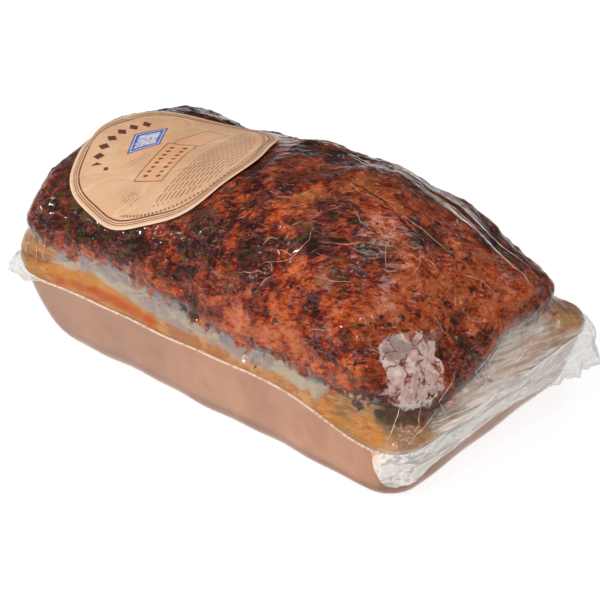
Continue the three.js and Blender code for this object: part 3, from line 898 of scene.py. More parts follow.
def fat_colour(finish):
    """Peach near the waist, streaky grey above it, and places of jelly, flame colour and wet brown."""
    lengthwise = finish.stretched((3.0, 1.0, 1.0))
    large = finish.noise(22, 3, 0.55, 0.8)
    middle = finish.noise(7, 4, 0.6, 1.0, lengthwise)
    small = finish.noise(2.6, 4, 0.65, 1.0, lengthwise)
    swirls = finish.noise(6, 4, 0.6, 1.6, lengthwise)
    cloud = large * 0.4 + middle * 0.6
    rise = finish.field("rise") + (middle - 0.5) * 0.8 + (small - 0.5) * 0.4
    streaky = finish.blend(middle.above(0.42, 0.58), GREY_CREAM, LILAC_GREY)
    bluish = rise.above(0.66, 0.9) * small.above(0.42, 0.56) * (1 - finish.field("amber").above(0.05, 0.3))
    hazy = finish.blend(middle.above(0.38, 0.62), HAZY_PINK, PEACH)
    olive = large.above(0.48, 0.56) * 0.45 + finish.field("left_end") * 0.45
    jelly = finish.blend(middle.above(0.38, 0.62), JELLY_DEEP, JELLY)
    pale_swirls, brown_swirls = swirls.within(0.5, 0.004, 0.03), swirls.within(0.42, 0.004, 0.03)
    jelly = finish.layered(jelly, (olive, OLIVE_JELLY), (pale_swirls * 0.25, CREAM))
    jelly = finish.blend(brown_swirls * 0.4, jelly, WET_BROWN)
    hot = finish.field("hot_streak") + (middle - 0.5) * 1.2 + (small - 0.5) * 0.6
    layers = [
        (rise.above(0.32, 0.5), streaky),
        (bluish * 0.85, BLUE_GREY),
        (finish.field("near_end") * 0.8, hazy),
        (finish.patchy("amber", cloud, 1.4, 0.2, 0.55) * 0.95, jelly),
        (finish.patchy("yellow", middle, 1.6, 0.3, 0.8) * 0.85, JELLY),
        (hot.above(0.25, 0.7) * 0.6, JELLY),
        (hot.above(0.45, 1.15), FLAME),
        (finish.patchy("wet", middle, 1.5, 0.35, 0.65) * 0.92, WET_BROWN),
        (finish.patchy("cream", small, 0.8, 0.3, 0.7), CREAM),
        # painted glints: white slivers at the near corner
        ((finish.field("shards") * 0.55 + (small - 0.5)).above(0.42, 0.5), GLINT_WHITE),
        (finish.patchy("spots", small, 1.6, 0.35, 0.6), DARK_SPOT),
    ]
    fat = finish.blend((large + (small - 0.5) * 0.6).above(0.42, 0.6), PEACH_DEEP, PEACH)
    return finish.layered(fat, *layers)


def skin_colour(finish):
    """Crust above a ragged line, fat and jelly below it."""
    ragged = (finish.noise(12, 4, 0.6, 0.6) - 0.5) * 30 + (finish.noise(4.5, 5, 0.6, 0.4) - 0.5) * 26
    browned = (finish.field("above") + ragged).above(-3.0, 3.0)
    return finish.blend(browned, fat_colour(finish), crust_colour(finish))


print("fat colours from", PEACH, "to", JELLY)

# %% Finishes of crust, collar and moulded wall
WALL_TONES = [(188, 136, 106), (200, 150, 121), (209, 164, 134)]


def crust_finish():
    finish = Finish("browned crust")
    relief = finish.noise(2.2, 5, 0.65, 0.6) + finish.noise(0.7, 3, 0.6) * 0.35
    gloss = finish.noise(6, 3).above(0.35, 0.7) * 0.25 + 0.3
    sockets = {"Base Color": skin_colour(finish), "Roughness": gloss, "Specular IOR Level": 0.15}
    sockets["Normal"] = finish.bump(relief, 0.9, 0.8)
    return finish.done(finish.surface(sockets))


def collar_finish():
    finish = Finish("set fat and jelly")
    relief = finish.noise(9, 3, 0.5, 0.5) + finish.noise(2.0, 3, 0.5) * 0.1
    gloss = finish.noise(9, 3).above(0.3, 0.7) * 0.2 + 0.35
    sockets = {"Base Color": skin_colour(finish), "Roughness": gloss, "Specular IOR Level": 0.3}
    sockets["Normal"] = finish.bump(relief, 0.8, 0.6)
    sockets.update({"Subsurface Weight": 0.12, "Subsurface Radius": (0.006, 0.003, 0.0015)})
    sockets["Subsurface Scale"] = 1.0
    return finish.done(finish.surface(sockets))


def wall_finish():
    """Smooth cast pate: a soft pinkish brown with faint clouds, small darker grains and painted shade towards
    +X.
    """
    finish = Finish("moulded pate")
    cloud = finish.noise(30, 4, 0.6, 0.6)
    grain = finish.noise(1.1, 3, 0.6)
    along = finish.add("ShaderNodeSeparateXYZ", None, {"Vector": finish.place}, "X")
    # Subtracting X paints shade onto the wall towards the +X end and lightens it towards the -X end.
    tone = cloud * 0.7 + finish.noise(7, 4, 0.6) * 0.3 - along * 1.1
    colour = finish.ramp(tone, (0.3, 0.5, 0.72), WALL_TONES)
    flecked = finish.blend(grain.above(0.62, 0.72) * 0.3, colour, srgb(160, 114, 94))
    normal = finish.bump(finish.noise(5, 4, 0.6) + grain * 0.3, 0.25, 0.5)
    return finish.done(finish.surface({"Base Color": flecked, "Roughness": 0.42, "Normal": normal}))


crust_material, collar_material, wall_material = crust_finish(), collar_finish(), wall_finish()

# %% [markdown]
# The loaf is one solid, as in the measured model: wall, a recessed neck behind the collar, and crust.

# %% The loaf
FAR_BELOW = -60.0  # how far under the crust's foot the wall and the neck count, mm


def closed_rings(rings):
    """Points and faces of a stack of rings, closed below and above."""
    columns = len(rings[0])
    faces = skin_faces(len(rings), columns, False)
    under = [tuple(reversed(face)) for face in cap_faces(0, columns)]
    return np.concatenate(rings), faces + under + cap_faces((len(rings) - 1) * columns, columns)


wall_rings = [wall_ring(share) for share in WALL_SHARES]
neck_rings = [flat_ring(NECK, weld_line), flat_ring(NECK, foot_line)]
points, faces = closed_rings(wall_rings + neck_rings + list(crust))
columns = len(weld_line)
below_crust = (len(wall_rings) + len(neck_rings)) * columns
above = np.concatenate([np.full(below_crust, FAR_BELOW), above_foot.ravel()])
fields = colour_fields(points, above, np.ones(len(points)))
loaf = mesh_piece("loaf", points, faces, [wall_material, crust_material], fields)
waist = (len(wall_rings) + 1) * columns
which = np.array([int(min(polygon.vertices) >= waist) for polygon in loaf.data.polygons])
loaf.data.polygons.foreach_set("material_index", which)
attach(loaf, "root")
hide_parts("pate_loaf")
tell(loaf)

# %% [markdown]
# Shreds of meat and skin lie all over the crust, pale where fat shows and dark where they caught the
# heat. Bent curves are strewn over the surface, laid onto it and given a thin round section.

# %% Finish of the shreds
SHRED_TONES = [(56, 24, 18), (118, 48, 28), (172, 92, 56), (208, 148, 118)]


def shred_finish():
    finish = Finish("browned shreds")
    tone = finish.noise(6, 2, 0.6) + (finish.noise(16, 2, 0.5) - 0.5) * 0.8 - finish.field("burnt") * 0.1
    sockets = {"Base Color": finish.ramp(tone, (0.3, 0.44, 0.56, 0.72), SHRED_TONES), "Roughness": 0.4}
    sockets["Normal"] = finish.bump(finish.noise(0.8, 3, 0.6), 0.2, 0.6)
    return finish.done(finish.surface(sockets))


# %% Shreds on the crust
LABEL_MIDDLE = tuple((np.array([LABEL_X, LABEL_Y, 0]) + PACK_SHIFT) * MM)
LABEL_EDGE = (0.059, 0.063)
SHRED_ZONE, PALE_ZONE = (7.0, 16.0), (0.3, 0.4)
SHRED_ARC = {"Start": (-0.0038, 0.0, 0.0), "Middle": (0.0004, 0.0013, 0.0), "End": (0.004, -0.0003, 0.0)}
SHRED_SPREAD, SHRED_SIZES = 0.75, (0.35, 1.25)


def strewn(rule, surface):
    """Points strewn over the browned part of the loaf, clear of the label and the pale patch."""
    settings = {"data_type": "FLOAT"}
    above = rule.add("GeometryNodeInputNamedAttribute", settings, {"Name": "above"}, "Attribute")
    pale = rule.add("GeometryNodeInputNamedAttribute", settings, {"Name": "pale"}, "Attribute")
    place = rule.add("GeometryNodeInputPosition", out="Position")
    offset = rule.add("ShaderNodeVectorMath", {"operation": "SUBTRACT"}, {0: place, 1: LABEL_MIDDLE})
    flat = rule.add("ShaderNodeVectorMath", {"operation": "MULTIPLY"}, {0: offset, 1: (1.0, 1.0, 0.0)})
    away = rule.add("ShaderNodeVectorMath", {"operation": "LENGTH"}, {0: flat}, "Value")
    bare = above.above(*SHRED_ZONE) * away.above(*LABEL_EDGE) * (1 - pale.above(*PALE_ZONE))
    sockets = {"Mesh": surface, "Density": rule.given("Density") * bare, "Seed": rule.given("Seed")}
    return rule.add("GeometryNodeDistributePointsOnFaces", None, sockets, "Points")


def lined_up(rule, rotation, spread, seed):
    """Rotations brought into line with the meat's grain, give or take the spread."""
    turn = math.radians(GRAIN_TURN)
    lined = {"Rotation": rotation, "Factor": 1.0, "Vector": (math.cos(turn), math.sin(turn), 0.0)}
    lined = rule.add("FunctionNodeAlignRotationToVector", {"axis": "X", "pivot_axis": "Z"}, lined)
    spin = rule.add("ShaderNodeCombineXYZ", None, {"Z": rule.scattered(-spread, spread, seed)})
    by = rule.add("FunctionNodeEulerToRotation", None, {"Euler": spin})
    sockets = {"Rotation": lined, "Rotate By": by}
    return rule.add("FunctionNodeRotateRotation", {"rotation_space": "LOCAL"}, sockets)


inputs = {"Loaf": loaf, "Density": 26000.0, "Seed": 11, "Thickness": 0.00024, "Material": shred_finish()}
rule = Rule("shreds", inputs)
skin = rule.shape_of("Loaf")
spots = strewn(rule, skin)
arc = rule.add("GeometryNodeCurveQuadraticBezier", None, {"Resolution": 7, **SHRED_ARC})
copies = {"Points": spots, "Instance": arc, "Scale": rule.scattered(*SHRED_SIZES, 8)}
copies["Rotation"] = lined_up(rule, spots.other("Rotation"), SHRED_SPREAD, 5)
strands = rule.add("GeometryNodeInstanceOnPoints", None, copies)
strands = rule.add("GeometryNodeRealizeInstances", None, {"Geometry": strands})
threads = rule.swept(rule.laid_on(skin, strands), 4, lambda share: 1 - abs(share * 2 - 1) ** 3)
shreds = rule.made("shreds", threads, bpy.data.meshes.new("seed point"))
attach(shreds, "root")
tell(shreds)

# %% The collar
collar_rows = np.array([collar_ring(level) for level in COLLAR_RINGS])
collar_out = outward(collar_rows)
set_fat = 0.9 * rough(collar_rows, 13.0, 3, seed=1.7) + 0.35 * rough(collar_rows, 4.0, 3, seed=5.0)
set_fat = set_fat * np.sin(np.pi * COLLAR_RINGS)[:, None]
collar_rows = collar_rows + collar_out * set_fat[..., None]
inner = NECK + NECK_GAP
rows = [flat_ring(inner, weld_line + NECK_GAP), *collar_rows, flat_ring(inner, foot_line - NECK_GAP)]
rows[1] = rows[1] + np.array([0, 0, NECK_GAP])
points = np.concatenate(rows)
depth = (COLLAR_RINGS[:, None] - 1) * (foot_line - weld_line)
above = np.concatenate([np.full(columns, FAR_BELOW / 2), depth.ravel(), np.zeros(columns)])
rise = np.concatenate([np.zeros(columns), np.repeat(COLLAR_RINGS, columns), np.ones(columns)])
fields = colour_fields(points, above, rise)
collar = mesh_piece("collar", points, skin_faces(len(rows), columns, True), [collar_material], fields)
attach(collar, "root")
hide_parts("fat_collar")
tell(collar)

# %% [markdown]
# The clear film lies skin-tight: close over the crust, stretched over the collar, and close again under
# the block. It is one closed bag of a single wall. Light passes straight through a wall this thin, so it
# is a mix of a see-through shader and a mirror-like one, and only its milky places get a body of colour.

# %% Finish of the film
def film_finish():
    finish = Finish("clear film")
    pulled = finish.stretched((2.2, 1.0, 1.0), GRAIN_TURN)
    puckers = finish.noise(4.6, 1, 0.4, 0.3, pulled)
    creases = finish.noise(11, 3, 0.6, 1.2, pulled).within(0.5, 0.0, 0.05)
    normal = finish.bump(puckers + creases * 0.2, 1.2, finish.field("crumple"))
    mirror = {"Color": (1, 1, 1, 1), "Roughness": 0.12, "Normal": normal}
    mirror = finish.add("ShaderNodeBsdfGlossy", None, mirror)
    glass = finish.add("ShaderNodeBsdfTransparent", None, {"Color": (0.99, 0.99, 0.99, 1)})
    clear_film = finish.mixed(finish.add("ShaderNodeFresnel", None, {"IOR": 1.36}), glass, mirror)
    milk = finish.surface({"Base Color": srgb(236, 226, 216), "Roughness": 0.3, "Normal": normal})
    upright = finish.noise(5.0, 4, 0.6, 0.4, finish.stretched((1.0, 1.0, 3.3)))
    lengthwise = finish.noise(1.9, 4, 0.62, 0.4, finish.stretched((1.0, 14.0, 1.2), -12))
    at_end = finish.field("near_end")
    streaks = upright * (1 - at_end) + lengthwise * at_end
    haze = finish.field("haze") * (streaks.above(0.36, 0.62) * 0.7 + 0.3)
    return finish.done(finish.mixed(haze, clear_film, milk))


film_material = film_finish()

# %% The film
FILM_OFF_WALL, FILM_OFF_COLLAR = 0.22, 0.42
CLEAR_HAZE, WALL_HAZE, COLLAR_HAZE, CLOUD_HAZE, BAND_HAZE, ROOT_HAZE = 0.003, 0.02, 0.03, 0.54, 0.85, 0.7
WALL_CRUMPLE, CRUST_CRUMPLE, COLLAR_CRUMPLE = 0.06, 0.9, 0.5

bag_wall = [wall_ring(share, FILM_OFF_WALL) for share in WALL_SHARES]
for ring, share in zip(bag_wall, WALL_SHARES):
    ring[:, 2] -= FILM_UNDER * (1 - share)
bag_collar = collar_rows + collar_out * FILM_OFF_COLLAR
points, faces = closed_rings(bag_wall + list(bag_collar[:-1]) + list(film_dome))
on_wall = np.arange(len(points)) < len(bag_wall) * columns
over_foot = np.concatenate([np.zeros(on_wall.sum()), depth[:-1].ravel(), above_foot.ravel()])
on_collar = np.where(on_wall, 0, smoothstep(-over_foot, -9, 4))
over_weld = points[:, 2] - np.tile(weld_line, len(points) // columns)
at_end = smoothstep(points[:, 0], 108, 128)
cloudy = at_end * smoothstep(points[:, 1], -54, -18) * (1 - 0.9 * smoothstep(points[:, 1], 42, 62))
band = BAND_HAZE * at_end * smoothstep(points[:, 1], -62, -44) * hump(over_weld, 0, 4.5, 1)
root = ROOT_HAZE * at_end * hump(over_weld, 0, 1.3, 1)
haze = on_collar * most(mix(COLLAR_HAZE, CLOUD_HAZE, cloudy), band, root) + CLEAR_HAZE
film_fields = {
    "haze": np.where(on_wall, WALL_HAZE, haze),
    "crumple": np.where(on_wall, WALL_CRUMPLE, mix(CRUST_CRUMPLE, COLLAR_CRUMPLE, on_collar)),
    "near_end": at_end,
}
film = mesh_piece("film", points, faces, [film_material], film_fields)
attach(film, "root")
tell(film)

# %% [markdown]
# Shrunk film gathers in fine raised creases. Each crease is a path given in plan and dropped onto the
# film; Geometry Nodes lay it on the surface and sweep a thin section along it that fades at both ends.

# %% Paths of the creases
CREASES = [
    [(14, 4), (43, -4), (62, 0), (76, 6), (86, 10), (95, 15), (99, 3)],
    [(78, 4), (86, -5), (90, -14), (93, -22)],
    [(67, -2), (71, -11), (69, -18)],
    [(101, 8), (104, 16), (108, 22), (114, 24)],
    [(104, 3), (111, -5)],
    [(24, -60), (34, -58), (40, -55), (43, -46), (40, -39)],
    [(47, -44), (60, -37), (72, -17)],
    [(66, -2), (71, -9), (74, -20), (84, -32)],
    [(26, -69), (29, -66), (33, -62)],
    [(58, -57), (68, -54), (77, -46)],
    [(64, -71), (81, -68)],
    [(11, -66), (28, -63)],
]
SHOULDER = [(-30, 36), (-1, 34), (23, 31), (49, 38), (70, 46), (87, 47), (104, 50), (118, 52), (126, 55)]
NEAR_END = [(126.1, -35.9, 37.3), (129.4, -46, 36.8), (132.1, -55.6, 36.2)]
NEAR_END += [(133.6, -66, 34.4), (134.4, -76.2, 31.7)]
NEAR_CORNER = [(122.3, -62.9, 53.8), (122.8, -66.7, 45.2), (124.7, -73.8, 38.6), (125.6, -80.6, 32.3)]
SHOULDER_CREASES, SHORT_CREASES, LEFT_CREASES, SIDE_CREASES, END_CREASES = 12, 34, 16, 7, 5
chance = np.random.default_rng(17)


def smooth_path(path, gap=1.2):
    """Points every gap millimetres along a path whose corners are rounded off."""
    path = np.array(path, float)
    run = np.concatenate([[0], np.cumsum(np.hypot(*np.diff(path, axis=0).T))])
    along = np.arange(0, run[-1], gap)
    fine = np.stack([np.interp(along, run, path[:, side]) for side in range(2)], 1)
    for _ in range(8):
        fine[1:-1] = (fine[:-2] + 2 * fine[1:-1] + fine[2:]) / 4
    return fine


def shoulder_path():
    """A stretch of the far shoulder's gathers, a little to one side and wavering."""
    path = smooth_path(SHOULDER)
    first = int(chance.uniform(0, 0.55) * len(path))
    path = path[first : first + int(chance.uniform(0.3, 0.5) * len(path))]
    wave = np.cumsum(chance.normal(0, 0.12, len(path)))
    path[:, 1] += chance.uniform(-7, 10) + wave
    return path


def short_path():
    """A short crease somewhere on the open part of the dome."""
    x, y = chance.uniform(-10, 110), chance.uniform(-66, 40)
    turn, length = chance.normal(0.3, 0.9), chance.uniform(3, 12)
    steps = np.linspace(0, 1, 8)
    turns = turn + chance.normal(0, 0.5) * steps
    return np.stack([x + length * steps * np.cos(turns), y + length * steps * np.sin(turns)], 1)


def collar_path(x, y, height, run, fall):
    """A crease of the film over the collar, from a place along a direction in plan and downwards."""
    steps = np.linspace(0, 1, 14)
    bend = chance.normal(0, 1.2) * np.sin(np.pi * steps)
    return np.stack([x + run[0] * steps + bend, y + run[1] * steps, height - fall * steps], 1)


def left_path():
    return collar_path(-149, chance.uniform(-74, 60), 68, (2, chance.normal(0, 5)), 22)


def side_path():
    return collar_path(chance.uniform(-146, -120), -80, 66, (chance.normal(0, 3), 0), 20)


def end_path():
    y, height = chance.uniform(-30, 60), chance.uniform(46, 56)
    return collar_path(127, y, height, (9, -chance.uniform(18, 46)), 13)


plans = [smooth_path(path) for path in CREASES]
plans += [shoulder_path() for _ in range(SHOULDER_CREASES)]
plans += [short_path() for _ in range(SHORT_CREASES)]
paths = [on_dome(plan[:, 0], plan[:, 1]) for plan in plans] + [np.array(NEAR_END), np.array(NEAR_CORNER)]
paths += [left_path() for _ in range(LEFT_CREASES)]
paths += [side_path() for _ in range(SIDE_CREASES)]
paths += [end_path() for _ in range(END_CREASES)]
print(len(paths), "creases,", sum(len(path) for path in paths), "points")

# %% Sweep the creases
def crease_finish():
    finish = Finish("film crease")
    tone = finish.noise(4.0, 3, 0.6).above(0.34, 0.62)
    tan = finish.blend(tone, srgb(156, 90, 64), srgb(226, 178, 148))
    milk_and_highlight = finish.blend(tone, srgb(176, 152, 142), srgb(246, 240, 234))
    place = finish.add("ShaderNodeSeparateXYZ", None, {"Vector": finish.place}, "X")
    # On the far shoulder the creases are painted white as a highlight; at the near end the same white is the
    # milky film.
    shoulder, near_end = place.other("Y").above(0.018, 0.03), place.above(0.122, 0.128)
    colour = finish.blend(shoulder.math("MAXIMUM", near_end), tan, milk_and_highlight)
    return finish.done(finish.surface({"Base Color": colour, "Roughness": 0.25}))


lines = bpy.data.meshes.new("crease lines")
starts = np.cumsum([0] + [len(path) for path in paths])
edges = [(i, i + 1) for first, last in zip(starts, starts[1:]) for i in range(first, last - 1)]
lines.from_pydata(((np.concatenate(paths) + PACK_SHIFT) * MM).tolist(), edges, [])
rule = Rule("creases", {"Film": film, "Step": 0.0012, "Thickness": 0.0002, "Material": crease_finish()})
curves = rule.add("GeometryNodeMeshToCurve", None, {"Mesh": rule.given("Geometry")})
evened = {"Curve": curves, "Length": rule.given("Step")}
evened = rule.add("GeometryNodeResampleCurve", {"mode": "LENGTH"}, evened)
curves = rule.laid_on(rule.shape_of("Film"), evened)
ridge = rule.swept(curves, 6, lambda share: (1 - (share * 2 - 1) ** 2) * 0.9 + 0.1)
creases = rule.made("creases", ridge, lines)
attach(creases, "root")
tell(creases)

# %% [markdown]
# Where the two films are welded, a narrow lip runs along the sides and wide flaps stand out at the ends.
# The flaps curl down and ruffle more and more towards their edge, which shrank into small scallops.

# %% Finish of the seal
def seal_finish():
    finish = Finish("welded film")
    folds = finish.noise(2.8, 3, 0.55, 0.4, finish.stretched((1.0, 12.0, 1.0), -6))
    normal = finish.bump(folds + finish.noise(1.4, 3, 0.6) * 0.12, 1.2, 0.8)
    lip = finish.field("milky").above(1.0, 1.2)
    milk = finish.blend(lip, srgb(234, 229, 223), srgb(232, 202, 180))
    body = finish.surface({"Base Color": milk, "Roughness": 0.25, "Normal": normal})
    clear_film = finish.add("ShaderNodeBsdfTransparent", None, {"Color": (0.93, 0.94, 0.94, 1)})
    pleats = folds.within(0.5, 0.0, 0.035)
    milky = finish.field("milky") * (folds.above(0.36, 0.62) * 0.45 + pleats * 0.5 + 0.4)
    return finish.done(finish.mixed(milky, clear_film, body))


seal_material = seal_finish()

# %% The seal's lip and flaps
SEAL_STEPS = {"end": 220, "corner": 24, "long": 130}
SEAL_SHARES = np.linspace(0, 1, 26)
SEAL_CLEARANCE, SEAL_HALF, BEAD_HALF = 0.4, 0.14, 0.2
LIP_BEAD, ROOT_BEAD, ROOT_RISE = 0.2, 0.45, 0.6
LIP_WIDTH, LIP_DROOP = 1.1, (4, 4)
LEFT_WIDTH, LEFT_DROOP = 10, (8, -14)
RIGHT_WIDTH, NEAR_EXTRA, FAR_EXTRA = 12, 7.5, 9.5
NEAR_DROOP, FAR_DROOP = (72, 92), (40, 88)
FLAP_START, FLAP_FULL = 22, 6
RUFFLE_HEIGHT, RUFFLE_LENGTH, SCALLOP_DEPTH, SCALLOP_LENGTH = 2.0, 14, 1.3, 4.6
LIP_MILK = 1.3  # so high that the lip is milky nearly all through
LEFT_MILK, NEAR_MILK, FAR_MILK, PLEAT_MILK, EDGE_MILK, ROOT_MILK = 0.2, 0.8, 0.42, 0.3, 0.25, 0.9


def flap_at(x, y, far):
    """How much of a flap stands at a place, its width, and its droop at root and edge."""
    ends = np.where(x < 0, RIM[0], RIM[1])
    share = smoothstep(np.abs(x), ends - FLAP_START, ends - FLAP_FULL)
    right = RIGHT_WIDTH + hump(far, 0, 0.08, NEAR_EXTRA) + FAR_EXTRA * smoothstep(far, 0.55, 0.95)
    width = np.where(x < 0, LEFT_WIDTH, right)
    droops = []
    for edge in range(2):
        full = np.where(x < 0, LEFT_DROOP[edge], mix(NEAR_DROOP[edge], FAR_DROOP[edge], far**3))
        droops.append(np.radians(mix(LIP_DROOP[edge], full, share)))
    return share, mix(LIP_WIDTH, width, share), droops


def ripple(length, drift=0.0):
    """A wave along the seam whose place drifts."""
    return np.sin(2 * np.pi * travelled / length + drift)


x, y, dx, dy = outline(RIM + SEAL_CLEARANCE, SEAL_STEPS)
travelled = np.cumsum(np.hypot(x - np.roll(x, 1), y - np.roll(y, 1)))
far = across_share(y)
flap, width, (start, end) = flap_at(x, y, far)
loose = np.where(x < 0, 1.0, smoothstep(far, 0.62, 0.9) + 0.7 * smoothstep(-far, -0.07, 0) + 0.08)
swing = ripple(RUFFLE_LENGTH, np.sin(travelled / 23))
crinkle = 0.35 * ripple(5.3, 2 * np.sin(travelled / 9)) + 0.2 * ripple(2.9)
scallop = SCALLOP_DEPTH * (1 - np.abs(ripple(2 * SCALLOP_LENGTH, 0.8 * np.sin(travelled / 15))))
slow, quick = 1.5 * np.sin(travelled / 13), 2 * np.sin(travelled / 7 + 1)
weld = weld_height(x, y)
whiteness = np.where(x < 0, LEFT_MILK, mix(NEAR_MILK, FAR_MILK, smoothstep(far, 0.45, 0.85)))
under, over, milky = [], [], []
for share in SEAL_SHARES:
    length = (width - flap * loose * scallop) * share
    droop = mix(start, end, share)
    reach, drop = length * np.cos((start + droop) / 2), length * np.sin((start + droop) / 2)
    pleat = 0.6 * np.sin(2 * np.pi * (length / 5.2 + travelled / 45) + slow)
    pleat = pleat + 0.5 * np.sin(2 * np.pi * (length / 3.1 + travelled / 19) + quick)
    ruffle = RUFFLE_HEIGHT * flap * loose * (swing * share**1.5 + crinkle * share**1.2 * 0.6)
    ruffle = ruffle + 0.3 * flap * pleat * smoothstep(share, 0, 0.15) * (1.2 - share)
    ruffle = ruffle + 0.2 * (1 - flap) * crinkle * share
    across = np.stack([dx * np.sin(droop), dy * np.sin(droop), np.cos(droop)], 1)
    root = 1 - smoothstep(share, 0.03, 0.16)
    base = np.stack([x + dx * reach, y + dy * reach, weld - drop + ROOT_RISE * flap * root], 1)
    half = SEAL_HALF + BEAD_HALF * (1 - flap) * smoothstep(share, 0.55, 0.8)
    under.append(base + across * (ruffle - half)[:, None])
    over.append(base + across * (ruffle + half + mix(LIP_BEAD, ROOT_BEAD, flap) * root)[:, None])
    on_flap = whiteness + PLEAT_MILK * np.clip(pleat, 0, 1) + EDGE_MILK * smoothstep(share, 0.8, 1)
    milky.append(np.maximum(mix(LIP_MILK, on_flap, flap), ROOT_MILK * root))
rows = under + over[::-1]
points, faces = np.concatenate(rows), skin_faces(len(rows), len(x), True)
seal_fields = {"milky": np.concatenate(milky + milky[::-1])}
seal = mesh_piece("seal", points, faces, [seal_material], seal_fields)
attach(seal, "root")
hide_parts("film_seal")
tell(seal)

# %% [markdown]
# The label is a round sheet of kraft paper with shallow lobes, laid on the dome. Each of its spokes is
# walked over the surface until its length is used up, so the paper is neither stretched nor shrunk, and
# every point knows its place on the flat sheet. The print reads that place.

# %% Walk the label's spokes over the dome
LABEL_LOBES, LOBE_DEPTH, LABEL_TURN = 8, 1.8, 5
SPOKES, LABEL_RINGS, STRIDE = 216, 44, 0.4

angles = 2 * np.pi * np.arange(SPOKES) / SPOKES
label_radius = LABEL_RADIUS + LOBE_DEPTH / 2 * np.cos(LABEL_LOBES * (angles - math.radians(LABEL_TURN)))
strides = int((LABEL_RADIUS + LOBE_DEPTH) / STRIDE) + 2
plan_x = LABEL_X + np.cos(angles)[:, None] * STRIDE * np.arange(strides)
plan_y = LABEL_Y + np.sin(angles)[:, None] * STRIDE * np.arange(strides)
stride_lengths = np.linalg.norm(np.diff(on_dome(plan_x, plan_y), axis=1), axis=-1)
walked = np.concatenate([np.zeros((SPOKES, 1)), np.cumsum(stride_lengths, axis=1)], 1)
print("a spoke walks", walked[0, -1].round(1), "mm in", strides, "strides")

# %% The label's sheet
LABEL_LIFT, PAPER_THICKNESS, EDGE_CURL, PAPER_WAVE = 1.1, 0.3, 0.35, 0.2
PRINT_TURN = math.radians(78.7)

ring_shares = np.arange(1, LABEL_RINGS + 1) / LABEL_RINGS
wanted = ring_shares[:, None] * label_radius
label_x = np.array([[np.interp(w, walked[i], plan_x[i]) for i, w in enumerate(row)] for row in wanted])
label_y = np.array([[np.interp(w, walked[i], plan_y[i]) for i, w in enumerate(row)] for row in wanted])
sheet, sheet_out = on_dome(label_x, label_y), dome_normal(label_x, label_y)
centre = (np.array([LABEL_X]), np.array([LABEL_Y]))
middle, middle_out = on_dome(*centre), dome_normal(*centre)
curl = EDGE_CURL * ring_shares[:, None] ** 6 * (1 + np.sin(3 * angles + 1))
lift = LABEL_LIFT + (curl + PAPER_WAVE * rough(sheet, 24.0, 2, seed=9.0))
under, over = [sheet + sheet_out * (lift + more)[..., None] for more in (0, PAPER_THICKNESS)]
ends = [middle + middle_out * (LABEL_LIFT + more) for more in (0, PAPER_THICKNESS)]
rows = [*under, *over[::-1]]
points = np.concatenate([*rows, *ends])
faces = skin_faces(len(rows), SPOKES, False)
lowest, last = len(rows) * SPOKES, (len(rows) - 1) * SPOKES
faces += [(lowest, (i + 1) % SPOKES, i) for i in range(SPOKES)]
faces += [(lowest + 1, last + i, last + (i + 1) % SPOKES) for i in range(SPOKES)]
both = np.concatenate([wanted, wanted[::-1]])
sheet_fields = {
    "across": np.append((both * np.cos(angles - PRINT_TURN)).ravel(), [0, 0]),
    "upward": np.append((both * np.sin(angles - PRINT_TURN)).ravel(), [0, 0]),
    "inset": np.append((label_radius - both).ravel(), [LABEL_RADIUS] * 2),
}
print("label grid", wanted.shape, "middle", middle.round(1))

# %% [markdown]
# The print is drawn with distances in millimetres on the flat sheet: three border lines, a lozenge, an
# arc of diamonds, a ribbon with two rows of small diamonds, its empty tail, and rows of dashes. It
# carries no words.

# %% Shapes of the print
INK, BLUE, BLUE_PALE = srgb(96, 54, 38), srgb(66, 86, 158), srgb(206, 204, 204)
KRAFT = [(188, 146, 111), (201, 161, 127), (212, 176, 144)]
LOZENGE = (2, 28, 14, 18.5, 9.5)  # middle across and upward, tilt in degrees, half length and half height
RIBBON = (-6, -0.5, 25, 20.5, 9.5)
TAIL = (24, 6.5, 2, 13, 9)
# Distance from the edge, half width and strength of each border line
BORDERS = [(2.6, 0.24, 0.9), (3.8, 0.24, 0.9), (5.4, 0.45, 1.0)]
# Blocks of dashes: pitch, half width and length, then middle, half size and softness of the block
LEFT_ROWS = (2.4, 0.3, 4.0), (-38, -12), (4.2, 5), (0.3, 0.3)
UNDER_LOZENGE = (3.0, 0.4, 3.2), (-13, 0), (7, 1.4), (0.3, 0.1)
UNDER_LOZENGE_RISE = 15  # this block is counted from so far above the label's middle


def stroke(value, place, half_width, soft=0.15):
    """1 where a value lies within half a line's width of a place."""
    return value.within(place, half_width - soft, half_width + soft)


def window(u, v, middle, half, soft):
    """1 inside an upright rectangle."""
    sides = zip((u, v), middle, half, soft)
    across, upward = [value.within(place, reach, reach + blur) for value, place, reach, blur in sides]
    return across * upward


def turned_about(u, v, shape):
    """The same place, measured from a shape's middle along and across its tilt."""
    middle_u, middle_v, tilt = shape[:3]
    cosine, sine = math.cos(math.radians(tilt)), math.sin(math.radians(tilt))
    along = (u - middle_u) * cosine + (v - middle_v) * sine
    return along, (v - middle_v) * cosine - (u - middle_u) * sine


def inside_panel(u, v, shape, shrink=0.0):
    along, across = turned_about(u, v, shape)
    return window(along, across, (0, 0), (shape[3] - shrink, shape[4] - shrink), (0.25, 0.25))


def dashes(u, v, pitch, half_width, length):
    """Rows of short dashes: a row every pitch, broken at uneven places."""
    row = (v / pitch).math("FRACT")
    gap = u / length + (v / pitch - row) * 0.37
    broken = (gap + (gap * 0.31).math("SINE")).math("FRACT")
    return stroke(row, 0.5, half_width / pitch, 0.04) * broken.above(0.16, 0.22)


def dash_block(u, v, sizes, middle, half, soft):
    return dashes(u, v, *sizes) * window(u, v, middle, half, soft)


print("print has", len(BORDERS), "borders; ribbon", RIBBON[3] * 2, "by", RIBBON[4] * 2, "mm")

